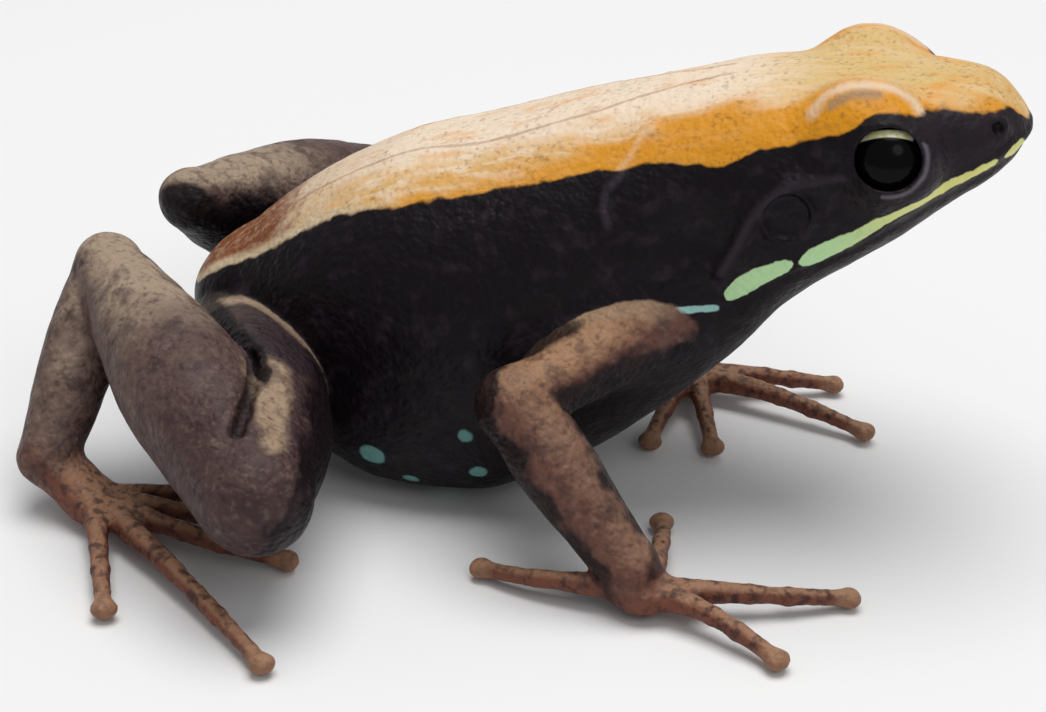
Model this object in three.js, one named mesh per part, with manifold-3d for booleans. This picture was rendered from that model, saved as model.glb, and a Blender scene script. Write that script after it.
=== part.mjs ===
// A small brown and gold mantella frog, life size, resting with its forequarters raised.
// Units are millimetres. The frog is laid out with +X to the snout, +Y to its left and +Z up,
// with the floor at z = 0 and the end of the rump at x = 0.
import * as THREE from "three";
import { mergeVertices } from "three/addons/utils/BufferGeometryUtils.js";
import Module from "manifold-3d";

const wasm = await Module();
wasm.setup();

// Driving dimensions
const BODY_LENGTH = 24.6;
const GAP = 0.3;
const RUMP_ROUNDING = 1.6;
const SNOUT_ROUNDING = 1.5;
const NECK_X = 16.0;
const BODY_SIDES = 32;
const WIDEST_LEVEL = 0.44;
const RUMP_SQUARENESS = 2.0;
const BACK_SQUARENESS = 2.25;
const BELLY_SQUARENESS = 2.9;
const HEAD_SQUARENESS = 2.6;

// Outline of trunk and head before the ends are rounded off, as [x, value]
const BACK_LINE = [[0, 6.2], [1.6, 6.85], [2.8, 7.9], [4.25, 8.95], [6.8, 10.25], [9.05, 10.95],
  [12, 12.0], [14.8, 12.85], [17, 13.4], [20, 13.65], [22.6, 13.75], [BODY_LENGTH, 13.3]];
const BELLY_LINE = [[0, 3.6], [1.6, 2.9], [3, 1.6], [5.2, 0.4], [6.6, -0.12], [9.6, -0.12], [10.8, 0.3],
  [13, 1.55], [15, 3.15], [16.8, 4.95], [18.4, 7.0], [21.2, 9.1], [22.85, 10.4],
  [BODY_LENGTH, 11.5]];
const HALF_WIDTH = [[0, 2.0], [1.6, 2.35], [4, 3.9], [6, 4.75], [8.5, 5.05], [11, 4.9], [14, 4.25],
  [16, 4.0], [18, 4.05], [20, 3.75], [21.5, 3.2], [22.85, 2.45], [BODY_LENGTH, 1.9]];
const MOUTH_LINE = [[16.6, 7.6], [18, 8.45], [19.6, 9.25], [21.2, 10.2], [22.8, 11.15], [24.0, 11.85],
  [BODY_LENGTH, 12.05]];

// Eyes and lids
const EYE_RADIUS = 1.22;
const EYE_CENTRE = [20.68, 2.85, 12.0];
const ORBIT_HALF_SIZES = [1.9, 1.75, 1.9];
const ORBIT_CENTRE = [19.95, 2.3, 12.25];
const LID_THICKNESS = 0.34;
const LID_SET_BACK = 0.2;
const LID_TILT = 20;
const LID_OPENING = { length: 2.3, above: 0.95, below: 0.95 };
const LID_RIM = 0.18;

// Nostrils, lips and eardrum
const NOSTRIL_RADIUS = 0.2;
const NOSTRIL_AT = [23.12, 12.43];
const MOUTH_GROOVE = 0.16;
const MOUTH_TURN_X = 22.4;
const EARDRUM_AT = [18.1, 10.5];
const EARDRUM_RADIUS = 0.75;
const EARDRUM_RIM = 0.17;

// Girth of the limbs: [how far along, radius across, radius up and down]
const THIGH = [[0, 1.9, 1.9], [0.3, 2.25, 2.2], [0.62, 2.4, 2.35], [0.85, 2.0, 1.95], [1, 1.6, 1.6]];
const SHANK = [[0, 1.6, 1.55], [0.2, 1.8, 1.75], [0.45, 1.95, 1.9], [0.75, 1.55, 1.5], [1, 1.0, 1.0]];
const TARSUS = [[0, 1.05, 1.0], [0.3, 1.22, 1.05], [0.65, 1.15, 0.92], [1, 0.92, 0.8]];
const INSTEP = [[0, 0.9, 0.8], [1, 0.85, 0.65]];
const UPPER_ARM = [[0, 1.3, 1.4], [0.4, 1.15, 1.2], [0.8, 1.02, 1.05], [1, 1.05, 1.1]];
const FOREARM = [[0, 1.05, 1.1], [0.35, 1.18, 1.18], [0.75, 1.0, 1.0], [1, 0.9, 0.85]];
const WRIST = [[0, 0.9, 0.85], [1, 0.85, 0.65]];
const SOLE_HALF_SIZES = [0.95, 0.85, 0.6];
const PALM_HALF_SIZES = [1.0, 0.95, 0.58];

// Digits: radius at the root, between the joint pads, at the pads and at the tip disc
const DIGIT = { root: 0.3, shaft: 0.28, pad: 0.35, disc: 0.44, height: 0.36, arch: 0.3 };
const TOE_ROOT = 2.4;
const FINGER_ROOT = 2.0;
const DIGIT_SIDES = 8;

// Joint positions, and for each digit the heading at its root and at its tip, in degrees to the
// frog's left of straight ahead, and its length from the middle of the hand or foot
const RIGHT = {
  hip: [2.0, -1.9, 3.7], knee: [4.8, -10.85, 3.8], heel: [-1.87, -2.66, 6.3],
  instep: [-2.75, -6.33, 1.67], sole: [-1.1, -7.01, 0.75],
  toes: [[25, 35, 3.7], [-1, 8, 4.8], [-27, 2, 6.35], [-43, -45, 9.45], [-67, -66, 5.25]],
  shoulder: [15.0, -2.9, 6.75], elbow: [11.12, -6.55, 5.15], wrist: [14.75, -8.2, 1.25],
  palm: [15.2, -8.3, 0.7],
  fingers: [[192, 150, 4.9], [80, 100, 4.45], [1, 27, 5.9], [-22, -36, 4.5]],
};
const LEFT = {
  hip: [2.0, 1.9, 3.7], knee: [3.4, 11.9, 3.36], heel: [-0.87, 2.54, 6.41],
  instep: [0.13, 7.14, 2.5], sole: [1.2, 8.3, 0.75],
  toes: [[-36, -44, 3.7], [-12, -20, 4.8], [12, -14, 6.35], [34, 24, 9.4], [56, 50, 5.25]],
  shoulder: [15.0, 2.9, 6.75], elbow: [10.95, 6.55, 5.2], wrist: [14.72, 5.59, 1.24],
  palm: [15.2, 5.15, 0.7],
  fingers: [[-109, -97, 4.25], [-78, -74, 4.2], [-16, -23, 6.0], [8, 20, 4.65]],
};

// Skin colours, seen on the living frog
const SKIN = {
  back: new THREE.MeshStandardMaterial({ color: 0xc98a4a, roughness: 0.45, metalness: 0 }),
  head: new THREE.MeshStandardMaterial({ color: 0xc08850, roughness: 0.4, metalness: 0 }),
  limb: new THREE.MeshStandardMaterial({ color: 0x7c6a5c, roughness: 0.55, metalness: 0 }),
  digit: new THREE.MeshStandardMaterial({ color: 0x8f6248, roughness: 0.55, metalness: 0 }),
  eye: new THREE.MeshStandardMaterial({ color: 0x0c0a0c, roughness: 0.1, metalness: 0 }),
};

// Smooth value at x from a list of [x, value] pairs
function valueAt(pairs, x) {
  const last = pairs.length - 1;
  let i = 0;
  while (i < last - 1 && x > pairs[i + 1][0]) i += 1;
  const slope = (k) => {
    const before = pairs[Math.max(k - 1, 0)];
    const after = pairs[Math.min(k + 1, last)];
    return (after[1] - before[1]) / (after[0] - before[0]);
  };
  const [x0, y0] = pairs[i];
  const [x1, y1] = pairs[i + 1];
  const width = x1 - x0;
  const t = THREE.MathUtils.clamp((x - x0) / width, 0, 1);
  const rise = t * t * (3 - 2 * t);
  const startPull = t * (1 - t) * (1 - t) * width * slope(i);
  const endPull = t * t * (t - 1) * width * slope(i + 1);
  return y0 + (y1 - y0) * rise + startPull + endPull;
}

// Share of full girth left at x, where the rump and the snout round off
function endRounding(x) {
  const rump = Math.max(0, (RUMP_ROUNDING - x) / RUMP_ROUNDING);
  const snout = Math.max(0, (x - BODY_LENGTH + SNOUT_ROUNDING) / SNOUT_ROUNDING);
  return Math.sqrt(Math.max(0, 1 - rump * rump - snout * snout));
}

// Upright section of trunk or head at x, with an extra thickness all round if asked
function sectionAt(x, extra = 0) {
  const top = valueAt(BACK_LINE, x);
  const bottom = valueAt(BELLY_LINE, x);
  const middle = bottom + (top - bottom) * WIDEST_LEVEL;
  const share = endRounding(x);
  const toHead = THREE.MathUtils.smoothstep(x, NECK_X - 3, NECK_X + 1);
  const trunkPower = THREE.MathUtils.lerp(
    RUMP_SQUARENESS, BACK_SQUARENESS, THREE.MathUtils.smoothstep(x, RUMP_ROUNDING, NECK_X / 2));
  return {
    middle,
    wide: valueAt(HALF_WIDTH, x) * share + extra,
    above: (top - middle) * share + extra,
    below: (middle - bottom) * share + extra,
    powerAbove: THREE.MathUtils.lerp(trunkPower, HEAD_SQUARENESS, toHead),
    powerBelow: THREE.MathUtils.lerp(BELLY_SQUARENESS, HEAD_SQUARENESS, toHead),
  };
}

// Whether a point lies inside trunk and head
function insideBody(point) {
  if (point.x <= 0 || point.x >= BODY_LENGTH) return false;
  const s = sectionAt(point.x);
  const across = Math.abs(point.y) / s.wide;
  const rise = point.z - s.middle;
  const up = Math.abs(rise) / (rise > 0 ? s.above : s.below);
  const power = rise > 0 ? s.powerAbove : s.powerBelow;
  return across ** power + up ** power < 1;
}

// Where a ray from inside the body comes out of its surface
function surfaceAlong(origin, direction) {
  let near = 0;
  let far = BODY_LENGTH;
  for (let i = 0; i < 40; i += 1) {
    const half = (near + far) / 2;
    if (insideBody(direction.clone().multiplyScalar(half).add(origin))) near = half;
    else far = half;
  }
  return direction.clone().multiplyScalar(near).add(origin);
}

// Closed solid made from a three.js geometry
function solidOf(geometry) {
  geometry.deleteAttribute("normal");
  geometry.deleteAttribute("uv");
  const merged = mergeVertices(geometry, 1e-5);
  return new wasm.Manifold(new wasm.Mesh({
    numProp: 3,
    vertProperties: merged.attributes.position.array,
    triVerts: merged.index.array,
  }));
}

// A closed skin through a row of rings: ringPoint(row, angle, share) places each point,
// where share is 1 on the ring and 0 at the middle of an end
function skinThroughRings(rows, sides, ringPoint) {
  const geometry = new THREE.CylinderGeometry(1, 1, 1, sides, rows - 1);
  const position = geometry.attributes.position;
  for (let i = 0; i < position.count; i += 1) {
    const row = Math.round((0.5 - position.getY(i)) * (rows - 1));
    const angle = Math.atan2(position.getX(i), position.getZ(i));
    const share = Math.round(Math.hypot(position.getX(i), position.getZ(i)));
    const point = ringPoint(row, angle, share);
    position.setXYZ(i, point.x, point.y, point.z);
  }
  return solidOf(geometry);
}

const signedPower = (value, power) => Math.sign(value) * Math.abs(value) ** power;

// Places of the rings along the body, closer on the head and at both ends
function bodyRings() {
  const rings = [];
  const endSteps = 5;
  for (let i = 0; i < endSteps; i += 1) {
    rings.push(RUMP_ROUNDING * (1 - Math.cos((i + 0.25) / endSteps * Math.PI / 2)));
  }
  const headStart = NECK_X - 1.5;
  const headEnd = BODY_LENGTH - SNOUT_ROUNDING;
  const trunkStep = (headStart - RUMP_ROUNDING) / 13;
  for (let x = RUMP_ROUNDING; x < headStart - 0.01; x += trunkStep) rings.push(x);
  const headStep = (headEnd - headStart) / 12;
  for (let x = headStart; x < headEnd - 0.01; x += headStep) rings.push(x);
  for (let i = 0; i <= endSteps; i += 1) {
    rings.push(headEnd + SNOUT_ROUNDING * Math.sin(i / (endSteps + 0.25) * Math.PI / 2));
  }
  return rings;
}

// Trunk and head in one piece
function wholeBody(extra = 0) {
  const rings = bodyRings();
  return skinThroughRings(rings.length, BODY_SIDES, (row, angle, share) => {
    const s = sectionAt(rings[row], extra);
    const upper = Math.cos(angle) > 0;
    const power = 2 / (upper ? s.powerAbove : s.powerBelow);
    const lift = signedPower(Math.cos(angle), power) * share;
    const y = s.wide * signedPower(Math.sin(angle), power) * share;
    return new THREE.Vector3(rings[row], y, s.middle + lift * (upper ? s.above : s.below));
  });
}

// A rounded limb along a smooth path; girth lists [how far along, radius across, radius up],
// and extra is an added thickness all round
function limbAlong(points, girth, sides, steps, extra = 0, capSteps = 3) {
  const path = new THREE.CatmullRomCurve3(points, false, "centripetal");
  const across = girth.map(([t, wide]) => [t, wide + extra]);
  const high = girth.map(([t, , tall]) => [t, tall + extra]);
  const rows = steps + 1 + 2 * capSteps;
  return skinThroughRings(rows, sides, (row, angle, share) => {
    const before = Math.max(0, capSteps - row);
    const after = Math.max(0, row - capSteps - steps);
    const t = THREE.MathUtils.clamp((row - capSteps) / steps, 0, 1);
    const turn = (before + after) / (capSteps + 0.3) * Math.PI / 2;
    const forward = path.getTangentAt(t);
    const side = new THREE.Vector3(0, 0, 1).cross(forward).normalize();
    const up = forward.clone().cross(side);
    const reach = Math.sign(after - before) * Math.sin(turn) * valueAt(high, t);
    const swell = Math.cos(turn) * share;
    return path.getPointAt(t)
      .addScaledVector(forward, reach)
      .addScaledVector(side, Math.sin(angle) * swell * valueAt(across, t))
      .addScaledVector(up, Math.cos(angle) * swell * valueAt(high, t));
  });
}

const vector = (list) => new THREE.Vector3(...list);

// The part of a solid on the far side of a plane through a point, kept clear of it by a distance
function beyondPlane(solid, normal, point, clear) {
  const n = normal.clone().normalize();
  return solid.trimByPlane([n.x, n.y, n.z], n.dot(point) + clear);
}

const onFloor = (solid) => solid.trimByPlane([0, 0, 1], 0);

// The largest piece of a solid, without crumbs that a cut may leave
function largestPiece(solid) {
  return solid.decompose().sort((a, b) => b.volume() - a.volume())[0];
}

// Parts two limb segments at their shared joint, along the plane that halves the bend
function partAtJoint(upper, lower, from, joint, to) {
  const bend = joint.clone().sub(from).normalize().add(to.clone().sub(joint).normalize());
  return [
    largestPiece(beyondPlane(upper, bend.clone().negate(), joint, GAP / 2)),
    largestPiece(beyondPlane(lower, bend, joint, GAP / 2)),
  ];
}

// Ball of a given centre and radius, or an egg shape where three half sizes are given
function ball(centre, halfSizes, sides = 24) {
  const geometry = new THREE.SphereGeometry(1, sides, Math.round(sides * 0.6));
  geometry.rotateX(Math.PI / 2);
  geometry.scale(...(Array.isArray(halfSizes) ? halfSizes : [halfSizes, halfSizes, halfSizes]));
  geometry.translate(...centre);
  return solidOf(geometry);
}

// Centre line of a digit: [heading at the root, heading at the tip, length] from a middle point
function digitPath(middle, [rootHeading, tipHeading, length]) {
  const steps = 8;
  const points = [middle.clone()];
  for (let i = 1; i <= steps; i += 1) {
    const heading = THREE.MathUtils.degToRad(
      THREE.MathUtils.lerp(rootHeading, tipHeading, (i - 0.5) / steps));
    const next = points[i - 1].clone();
    next.x += Math.cos(heading) * length / steps;
    next.y += Math.sin(heading) * length / steps;
    next.z = THREE.MathUtils.lerp(middle.z, DIGIT.height, Math.min(1, 1.5 * i / steps));
    next.z += DIGIT.arch * Math.sin(Math.PI * i / steps);
    points.push(next);
  }
  return points;
}

// One digit from the middle of the hand or foot to its tip disc, with a pad under each joint
function digitSolid(points, joints) {
  const girth = [[0, DIGIT.root + 0.15, DIGIT.root + 0.15], [0.3, DIGIT.root, DIGIT.root]];
  for (let j = 1; j <= joints; j += 1) {
    const along = 0.35 + 0.5 * j / (joints + 1);
    girth.push([along - 0.05, DIGIT.shaft, DIGIT.shaft]);
    girth.push([along, DIGIT.pad, DIGIT.shaft + 0.04]);
  }
  girth.push([0.88, DIGIT.shaft, DIGIT.shaft]);
  girth.push([0.97, DIGIT.disc, DIGIT.height]);
  girth.push([1, DIGIT.disc - 0.04, DIGIT.height - 0.03]);
  return limbAlong(points, girth, DIGIT_SIDES, 6 + 2 * joints, 0, 2);
}

// Splits the rays of a hand or foot into the loose digits and the part joined in the palm or sole
function splitDigits(middle, list, root, jointCounts) {
  const digits = [];
  const rays = [];
  list.forEach((course, i) => {
    const points = digitPath(middle, course);
    const ray = digitSolid(points, jointCounts[i]);
    const along = root / course[2] * (points.length - 1);
    const k = Math.floor(along);
    const cut = points[k].clone().lerp(points[k + 1], along - k);
    const heading = points[k + 1].clone().sub(points[k]).setZ(0);
    digits.push(onFloor(largestPiece(beyondPlane(ray, heading, cut, GAP / 2))));
    rays.push(largestPiece(beyondPlane(ray, heading.clone().negate(), cut, GAP / 2)));
  });
  return { digits, rays };
}

const parts = {};

// Hind leg: thigh, shank, tarsus, foot and five toes
function addLeg(pose, side) {
  const [hip, knee, heel, instep, sole] =
    [pose.hip, pose.knee, pose.heel, pose.instep, pose.sole].map(vector);
  let thigh = limbAlong([hip, knee], THIGH, 16, 8).subtract(bodyWithClearance);
  let shank = limbAlong([knee, heel], SHANK, 16, 8).subtract(bodyWithClearance);
  let tarsus = limbAlong([heel, instep], TARSUS, 12, 5);
  thigh = thigh.subtract(limbAlong([heel, instep], TARSUS, 12, 5, GAP));
  thigh = thigh.subtract(limbAlong([instep, sole], INSTEP, 10, 2, GAP));
  const { digits, rays } = splitDigits(sole, pose.toes, TOE_ROOT, [1, 1, 2, 3, 2]);
  const middle = limbAlong([instep, sole], INSTEP, 10, 2).add(ball(pose.sole, SOLE_HALF_SIZES, 12));
  let foot = rays.reduce((sum, ray) => sum.add(ray), middle);
  [thigh, shank] = partAtJoint(thigh, shank, hip, knee, heel);
  [shank, tarsus] = partAtJoint(shank, tarsus, knee, heel, instep);
  [tarsus, foot] = partAtJoint(tarsus, foot, heel, instep, sole);
  parts[`thigh_${side}`] = [thigh, SKIN.limb];
  parts[`shank_${side}`] = [shank, SKIN.limb];
  parts[`tarsus_${side}`] = [tarsus, SKIN.limb];
  parts[`foot_${side}`] = [onFloor(foot), SKIN.digit];
  digits.forEach((digit, i) => {
    parts[`toe_${i + 1}_${side}`] = [digit, SKIN.digit];
  });
}

// Foreleg: upper arm, forearm, hand and four fingers
function addArm(pose, side) {
  const [shoulder, elbow, wrist, palm] = [pose.shoulder, pose.elbow, pose.wrist, pose.palm].map(vector);
  let upperArm = limbAlong([shoulder, elbow], UPPER_ARM, 14, 5).subtract(bodyWithClearance);
  let forearm = limbAlong([elbow, wrist], FOREARM, 14, 5);
  const { digits, rays } = splitDigits(palm, pose.fingers, FINGER_ROOT, [1, 1, 2, 2]);
  const middle = limbAlong([wrist, palm], WRIST, 10, 2).add(ball(pose.palm, PALM_HALF_SIZES, 12));
  let hand = rays.reduce((sum, ray) => sum.add(ray), middle);
  [upperArm, forearm] = partAtJoint(upperArm, forearm, shoulder, elbow, wrist);
  [forearm, hand] = partAtJoint(forearm, hand, elbow, wrist, palm);
  parts[`upper_arm_${side}`] = [upperArm, SKIN.limb];
  parts[`forearm_${side}`] = [forearm, SKIN.limb];
  parts[`hand_${side}`] = [onFloor(hand), SKIN.digit];
  digits.forEach((digit, i) => {
    parts[`finger_${i + 1}_${side}`] = [digit, SKIN.digit];
  });
}

// Lens-shaped opening between the lids, in the upright plane through the eye
function lidShape() {
  const half = LID_OPENING.length / 2;
  const shape = new THREE.Shape();
  shape.moveTo(-half, 0);
  shape.quadraticCurveTo(0, LID_OPENING.above * 2, half, 0);
  shape.quadraticCurveTo(0, -LID_OPENING.below * 2, -half, 0);
  return shape;
}

// Turns a shape made round the origin, looking along +Z, to look out of an eye, and moves it there
function placeAtEye(geometry, outward) {
  geometry.rotateX(Math.PI / 2 - THREE.MathUtils.degToRad(LID_TILT));
  if (outward > 0) geometry.rotateZ(Math.PI);
  geometry.translate(EYE_CENTRE[0], EYE_CENTRE[1] * outward, EYE_CENTRE[2]);
  return solidOf(geometry);
}

const LID_RADIUS = EYE_RADIUS + GAP + LID_THICKNESS;

// Skin over the eyeball, before the opening between the lids is cut
function lidBall(outward) {
  const geometry = new THREE.SphereGeometry(LID_RADIUS, 18, 10);
  geometry.translate(0, 0, -LID_SET_BACK);
  return placeAtEye(geometry, outward);
}

// Raised rims of the lids: a thin roll along the edge of the opening
function lidRims(outward) {
  const steps = 16;
  const spread = 1.1;
  const outline = lidShape().getSpacedPoints(steps).slice(0, steps);
  const course = outline.map((p) => {
    const depth = Math.sqrt(LID_RADIUS ** 2 - (spread * p.x) ** 2 - (spread * p.y) ** 2);
    return new THREE.Vector3(spread * p.x, spread * p.y, depth - LID_SET_BACK);
  });
  const path = new THREE.CatmullRomCurve3(course, true);
  const roll = new THREE.Shape().absellipse(0, 0, LID_RIM, LID_RIM, 0, Math.PI * 2);
  const geometry = new THREE.ExtrudeGeometry(roll, { steps, curveSegments: 3, extrudePath: path });
  return placeAtEye(geometry, outward);
}

// Opening between the lids, from the middle of the eye outwards
function lidOpening(outward) {
  const options = { depth: 3, bevelEnabled: false, curveSegments: 6 };
  return placeAtEye(new THREE.ExtrudeGeometry(lidShape(), options), outward);
}

// Line of the mouth from one corner round the snout to the other
function mouthCourse() {
  const corner = MOUTH_LINE[0][0];
  const course = [];
  const steps = 7;
  const slope = 0.42;
  for (let i = 0; i < steps; i += 1) {
    const x = THREE.MathUtils.lerp(corner, MOUTH_TURN_X, i / steps);
    const from = new THREE.Vector3(x, 0, valueAt(MOUTH_LINE, x));
    course.push(surfaceAlong(from, new THREE.Vector3(0, -1, 0)));
  }
  const turn = new THREE.Vector3(MOUTH_TURN_X, 0, valueAt(MOUTH_LINE, MOUTH_TURN_X));
  const turnSteps = 6;
  for (let i = 0; i < turnSteps; i += 1) {
    const angle = -Math.PI / 2 * (1 - i / turnSteps);
    const ahead = Math.cos(angle);
    course.push(surfaceAlong(turn, new THREE.Vector3(ahead, Math.sin(angle), slope * ahead)));
  }
  const front = surfaceAlong(turn, new THREE.Vector3(1, 0, slope));
  const otherSide = course.map((p) => new THREE.Vector3(p.x, -p.y, p.z)).reverse();
  return [...course, front, ...otherSide];
}

// Raised ring of the eardrum, lying on the side of the head
function eardrum(outward) {
  const [x, z] = EARDRUM_AT;
  const near = 0.4;
  const onSide = (dx, dz) => surfaceAlong(
    new THREE.Vector3(x + dx, 0, z + dz), new THREE.Vector3(0, outward, 0));
  const at = onSide(0, 0);
  const ahead = onSide(near, 0);
  const above = onSide(0, near);
  const normal = ahead.sub(at).cross(above.sub(at)).multiplyScalar(-outward).normalize();
  const ring = new THREE.TorusGeometry(EARDRUM_RADIUS, EARDRUM_RIM, 5, 14);
  ring.lookAt(normal);
  ring.translate(at.x, at.y, at.z);
  return solidOf(ring);
}

// Head: skull with orbits, lids, nostrils, line of the mouth and eardrums
function addHead(body) {
  let head = beyondPlane(body, new THREE.Vector3(1, 0, 0), new THREE.Vector3(NECK_X, 0, 0), GAP / 2);
  const cuts = [];
  for (const outward of [-1, 1]) {
    const eye = [EYE_CENTRE[0], EYE_CENTRE[1] * outward, EYE_CENTRE[2]];
    const orbit = [ORBIT_CENTRE[0], ORBIT_CENTRE[1] * outward, ORBIT_CENTRE[2]];
    head = head.add(ball(orbit, ORBIT_HALF_SIZES, 16)).add(lidBall(outward));
    head = head.add(lidRims(outward)).add(eardrum(outward));
    cuts.push(lidOpening(outward), ball(eye, EYE_RADIUS + GAP, 16));
    const from = new THREE.Vector3(NOSTRIL_AT[0], 0, NOSTRIL_AT[1]);
    const nostril = surfaceAlong(from, new THREE.Vector3(0.25, outward, 0.2).normalize());
    cuts.push(ball(nostril.toArray(), NOSTRIL_RADIUS, 8));
    parts[`eye_${outward < 0 ? "right" : "left"}`] = [ball(eye, EYE_RADIUS, 16), SKIN.eye];
  }
  const roll = new THREE.Shape().absellipse(0, 0, MOUTH_GROOVE, MOUTH_GROOVE, 0, Math.PI * 2);
  const path = new THREE.CatmullRomCurve3(mouthCourse());
  cuts.push(solidOf(new THREE.ExtrudeGeometry(roll, { steps: 26, curveSegments: 3, extrudePath: path })));
  for (const cut of cuts) head = head.subtract(cut);
  parts.head = [largestPiece(head), SKIN.head];
}

const bodyWithClearance = wholeBody(GAP);
const body = onFloor(wholeBody());
parts.torso = [
  beyondPlane(body, new THREE.Vector3(-1, 0, 0), new THREE.Vector3(NECK_X, 0, 0), GAP / 2),
  SKIN.back,
];
addHead(body);
addLeg(RIGHT, "right");
addLeg(LEFT, "left");
addArm(RIGHT, "right");
addArm(LEFT, "left");

// One named mesh for each part
const frog = new THREE.Group();
for (const [name, [solid, material]] of Object.entries(parts)) {
  const { numProp, vertProperties, triVerts } = solid.getMesh();
  const geometry = new THREE.BufferGeometry();
  geometry.setAttribute("position", new THREE.BufferAttribute(vertProperties, numProp));
  geometry.setIndex(new THREE.BufferAttribute(triVerts, 1));
  geometry.computeVertexNormals();
  const mesh = new THREE.Mesh(geometry, material);
  mesh.name = name;
  frog.add(mesh);
}

// The frog stands with the middle of its outline over the origin and its feet on the floor
const box = new THREE.Box3().setFromObject(frog);
const middle = box.getCenter(new THREE.Vector3());
frog.position.set(-middle.x, -middle.y, -box.min.z);

export default frog;
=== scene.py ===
"""A small brown and gold mantella frog at rest: one skin over its body and limbs, and its two eyes.

Shapes are worked out in millimetres in the layout frame of the frog, with the end of the rump at
x = 0, the floor at z = 0 and the middle of the back over y = 0, and moved to the row frame at the end.
"""
import math
from collections import namedtuple
from functools import partial

import bpy
import numpy as np
from mathutils import Matrix, Vector


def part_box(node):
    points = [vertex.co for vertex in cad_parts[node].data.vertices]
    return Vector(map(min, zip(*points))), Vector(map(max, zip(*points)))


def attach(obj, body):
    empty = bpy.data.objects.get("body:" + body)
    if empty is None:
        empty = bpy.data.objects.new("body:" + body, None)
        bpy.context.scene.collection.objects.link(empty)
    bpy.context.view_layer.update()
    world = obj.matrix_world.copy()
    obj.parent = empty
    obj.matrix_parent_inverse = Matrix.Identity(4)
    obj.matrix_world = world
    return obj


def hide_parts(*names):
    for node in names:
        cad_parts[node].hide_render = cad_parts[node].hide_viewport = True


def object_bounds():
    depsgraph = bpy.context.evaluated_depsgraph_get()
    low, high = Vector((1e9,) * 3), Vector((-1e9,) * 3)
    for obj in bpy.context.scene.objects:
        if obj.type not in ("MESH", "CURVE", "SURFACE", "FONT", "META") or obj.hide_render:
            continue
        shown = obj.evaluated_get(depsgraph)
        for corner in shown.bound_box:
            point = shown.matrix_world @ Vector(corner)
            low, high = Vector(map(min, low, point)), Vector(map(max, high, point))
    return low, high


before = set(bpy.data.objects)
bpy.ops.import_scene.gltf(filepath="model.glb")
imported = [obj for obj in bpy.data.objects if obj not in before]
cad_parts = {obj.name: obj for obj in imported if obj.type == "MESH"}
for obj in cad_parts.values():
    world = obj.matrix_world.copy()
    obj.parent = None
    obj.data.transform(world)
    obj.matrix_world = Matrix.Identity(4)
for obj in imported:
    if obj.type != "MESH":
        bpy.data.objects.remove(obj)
CAD_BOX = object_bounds()

MM = 0.001
GRID_STEP = 0.09
SEED = 7

# Trunk and head, as in the solids
BODY_LENGTH = 24.6
RUMP_ROUNDING = 1.6
SNOUT_ROUNDING = 1.5
NECK_X = 16.0
WIDEST_LEVEL = 0.44
RUMP_SQUARENESS = 2.0
BACK_SQUARENESS = 2.25
BELLY_SQUARENESS = 2.9
HEAD_SQUARENESS = 2.6
BACK_LINE = [(0, 6.2), (1.6, 6.85), (2.8, 7.9), (4.25, 8.95), (6.8, 10.25), (9.05, 10.95),
             (12, 12.0), (14.8, 12.85), (17, 13.4), (20, 13.65), (22.6, 13.75), (BODY_LENGTH, 13.3)]
BELLY_LINE = [(0, 3.6), (1.6, 2.9), (3, 1.6), (5.2, 0.4), (6.6, -0.12), (9.6, -0.12), (10.8, 0.3),
              (13, 1.55), (15, 3.15), (16.8, 4.95), (18.4, 7.0), (21.2, 9.1), (22.85, 10.4),
              (BODY_LENGTH, 11.5)]
HALF_WIDTH = [(0, 2.0), (1.6, 2.35), (4, 3.9), (6, 4.75), (8.5, 5.05), (11, 4.9), (14, 4.25),
              (16, 4.0), (18, 4.05), (20, 3.75), (21.5, 3.2), (22.85, 2.45), (BODY_LENGTH, 1.9)]
MOUTH_LINE = [(16.6, 7.6), (18, 8.45), (19.6, 9.25), (21.2, 10.2), (22.8, 11.15), (24.0, 11.85),
              (BODY_LENGTH, 12.05)]
SKIN_INSET = 0.04
BOX_MARGIN = 0.01

# Eyes and lids
EYE_RADIUS = 1.22
EYE_CENTRE = (20.68, 2.85, 12.0)
ORBIT_HALF_SIZES = (1.88, 1.7, 1.85)
ORBIT_CENTRE = (19.95, 2.3, 12.25)
LID_BALL_RADIUS = 1.6
LID_SET_BACK = 0.12
LID_TILT = 20
LID_OPENING = (0.86, 0.82)
LID_DEPTH = 0.3
LID_RIM = 0.13
LID_RIM_SPREAD = 1.1
LID_RIM_LIFT = 0.2
EYE_ROWS, EYE_COLUMNS = 72, 96
EYE_DOME = 0.03
EYE_CLEARANCE = 0.01
# Bright band of the iris over the pupil: middle, height, droop to its ends, rise towards the front,
# half width and half length
IRIS_BAND = (-0.1, 0.69, 0.25, 0.12, 0.095, 0.72)

# Eardrum, nostril, mouth and the hollow behind the jaw
EARDRUM_AT = (18.1, 10.5)
EARDRUM_RADIUS = 0.72
EARDRUM_RIM = 0.11
EARDRUM_DISC = 0.54
EARDRUM_DEPTH = 0.05
NOSTRIL_BETWEEN = (23.12, 0, 12.43)
NOSTRIL_RADIUS = 0.15
NOSTRIL_FACING = (0.25, 1, 0.2)
NOSTRIL_SWELL = 1.9
NOSTRIL_SWELL_INWARD = 0.88
LIP_HEIGHT = 0.3
LIP_ROUNDING = 0.06
MOUTH_ROUNDING = 0.05
SHOULDER_HOLLOW_AT = (15.45, 5.35, 9.8)
SHOULDER_HOLLOW_RADIUS = 1.6
EARDRUM_FOLD_RADIUS, SHOULDER_FOLD_RADIUS = 0.12, 0.07

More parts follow.
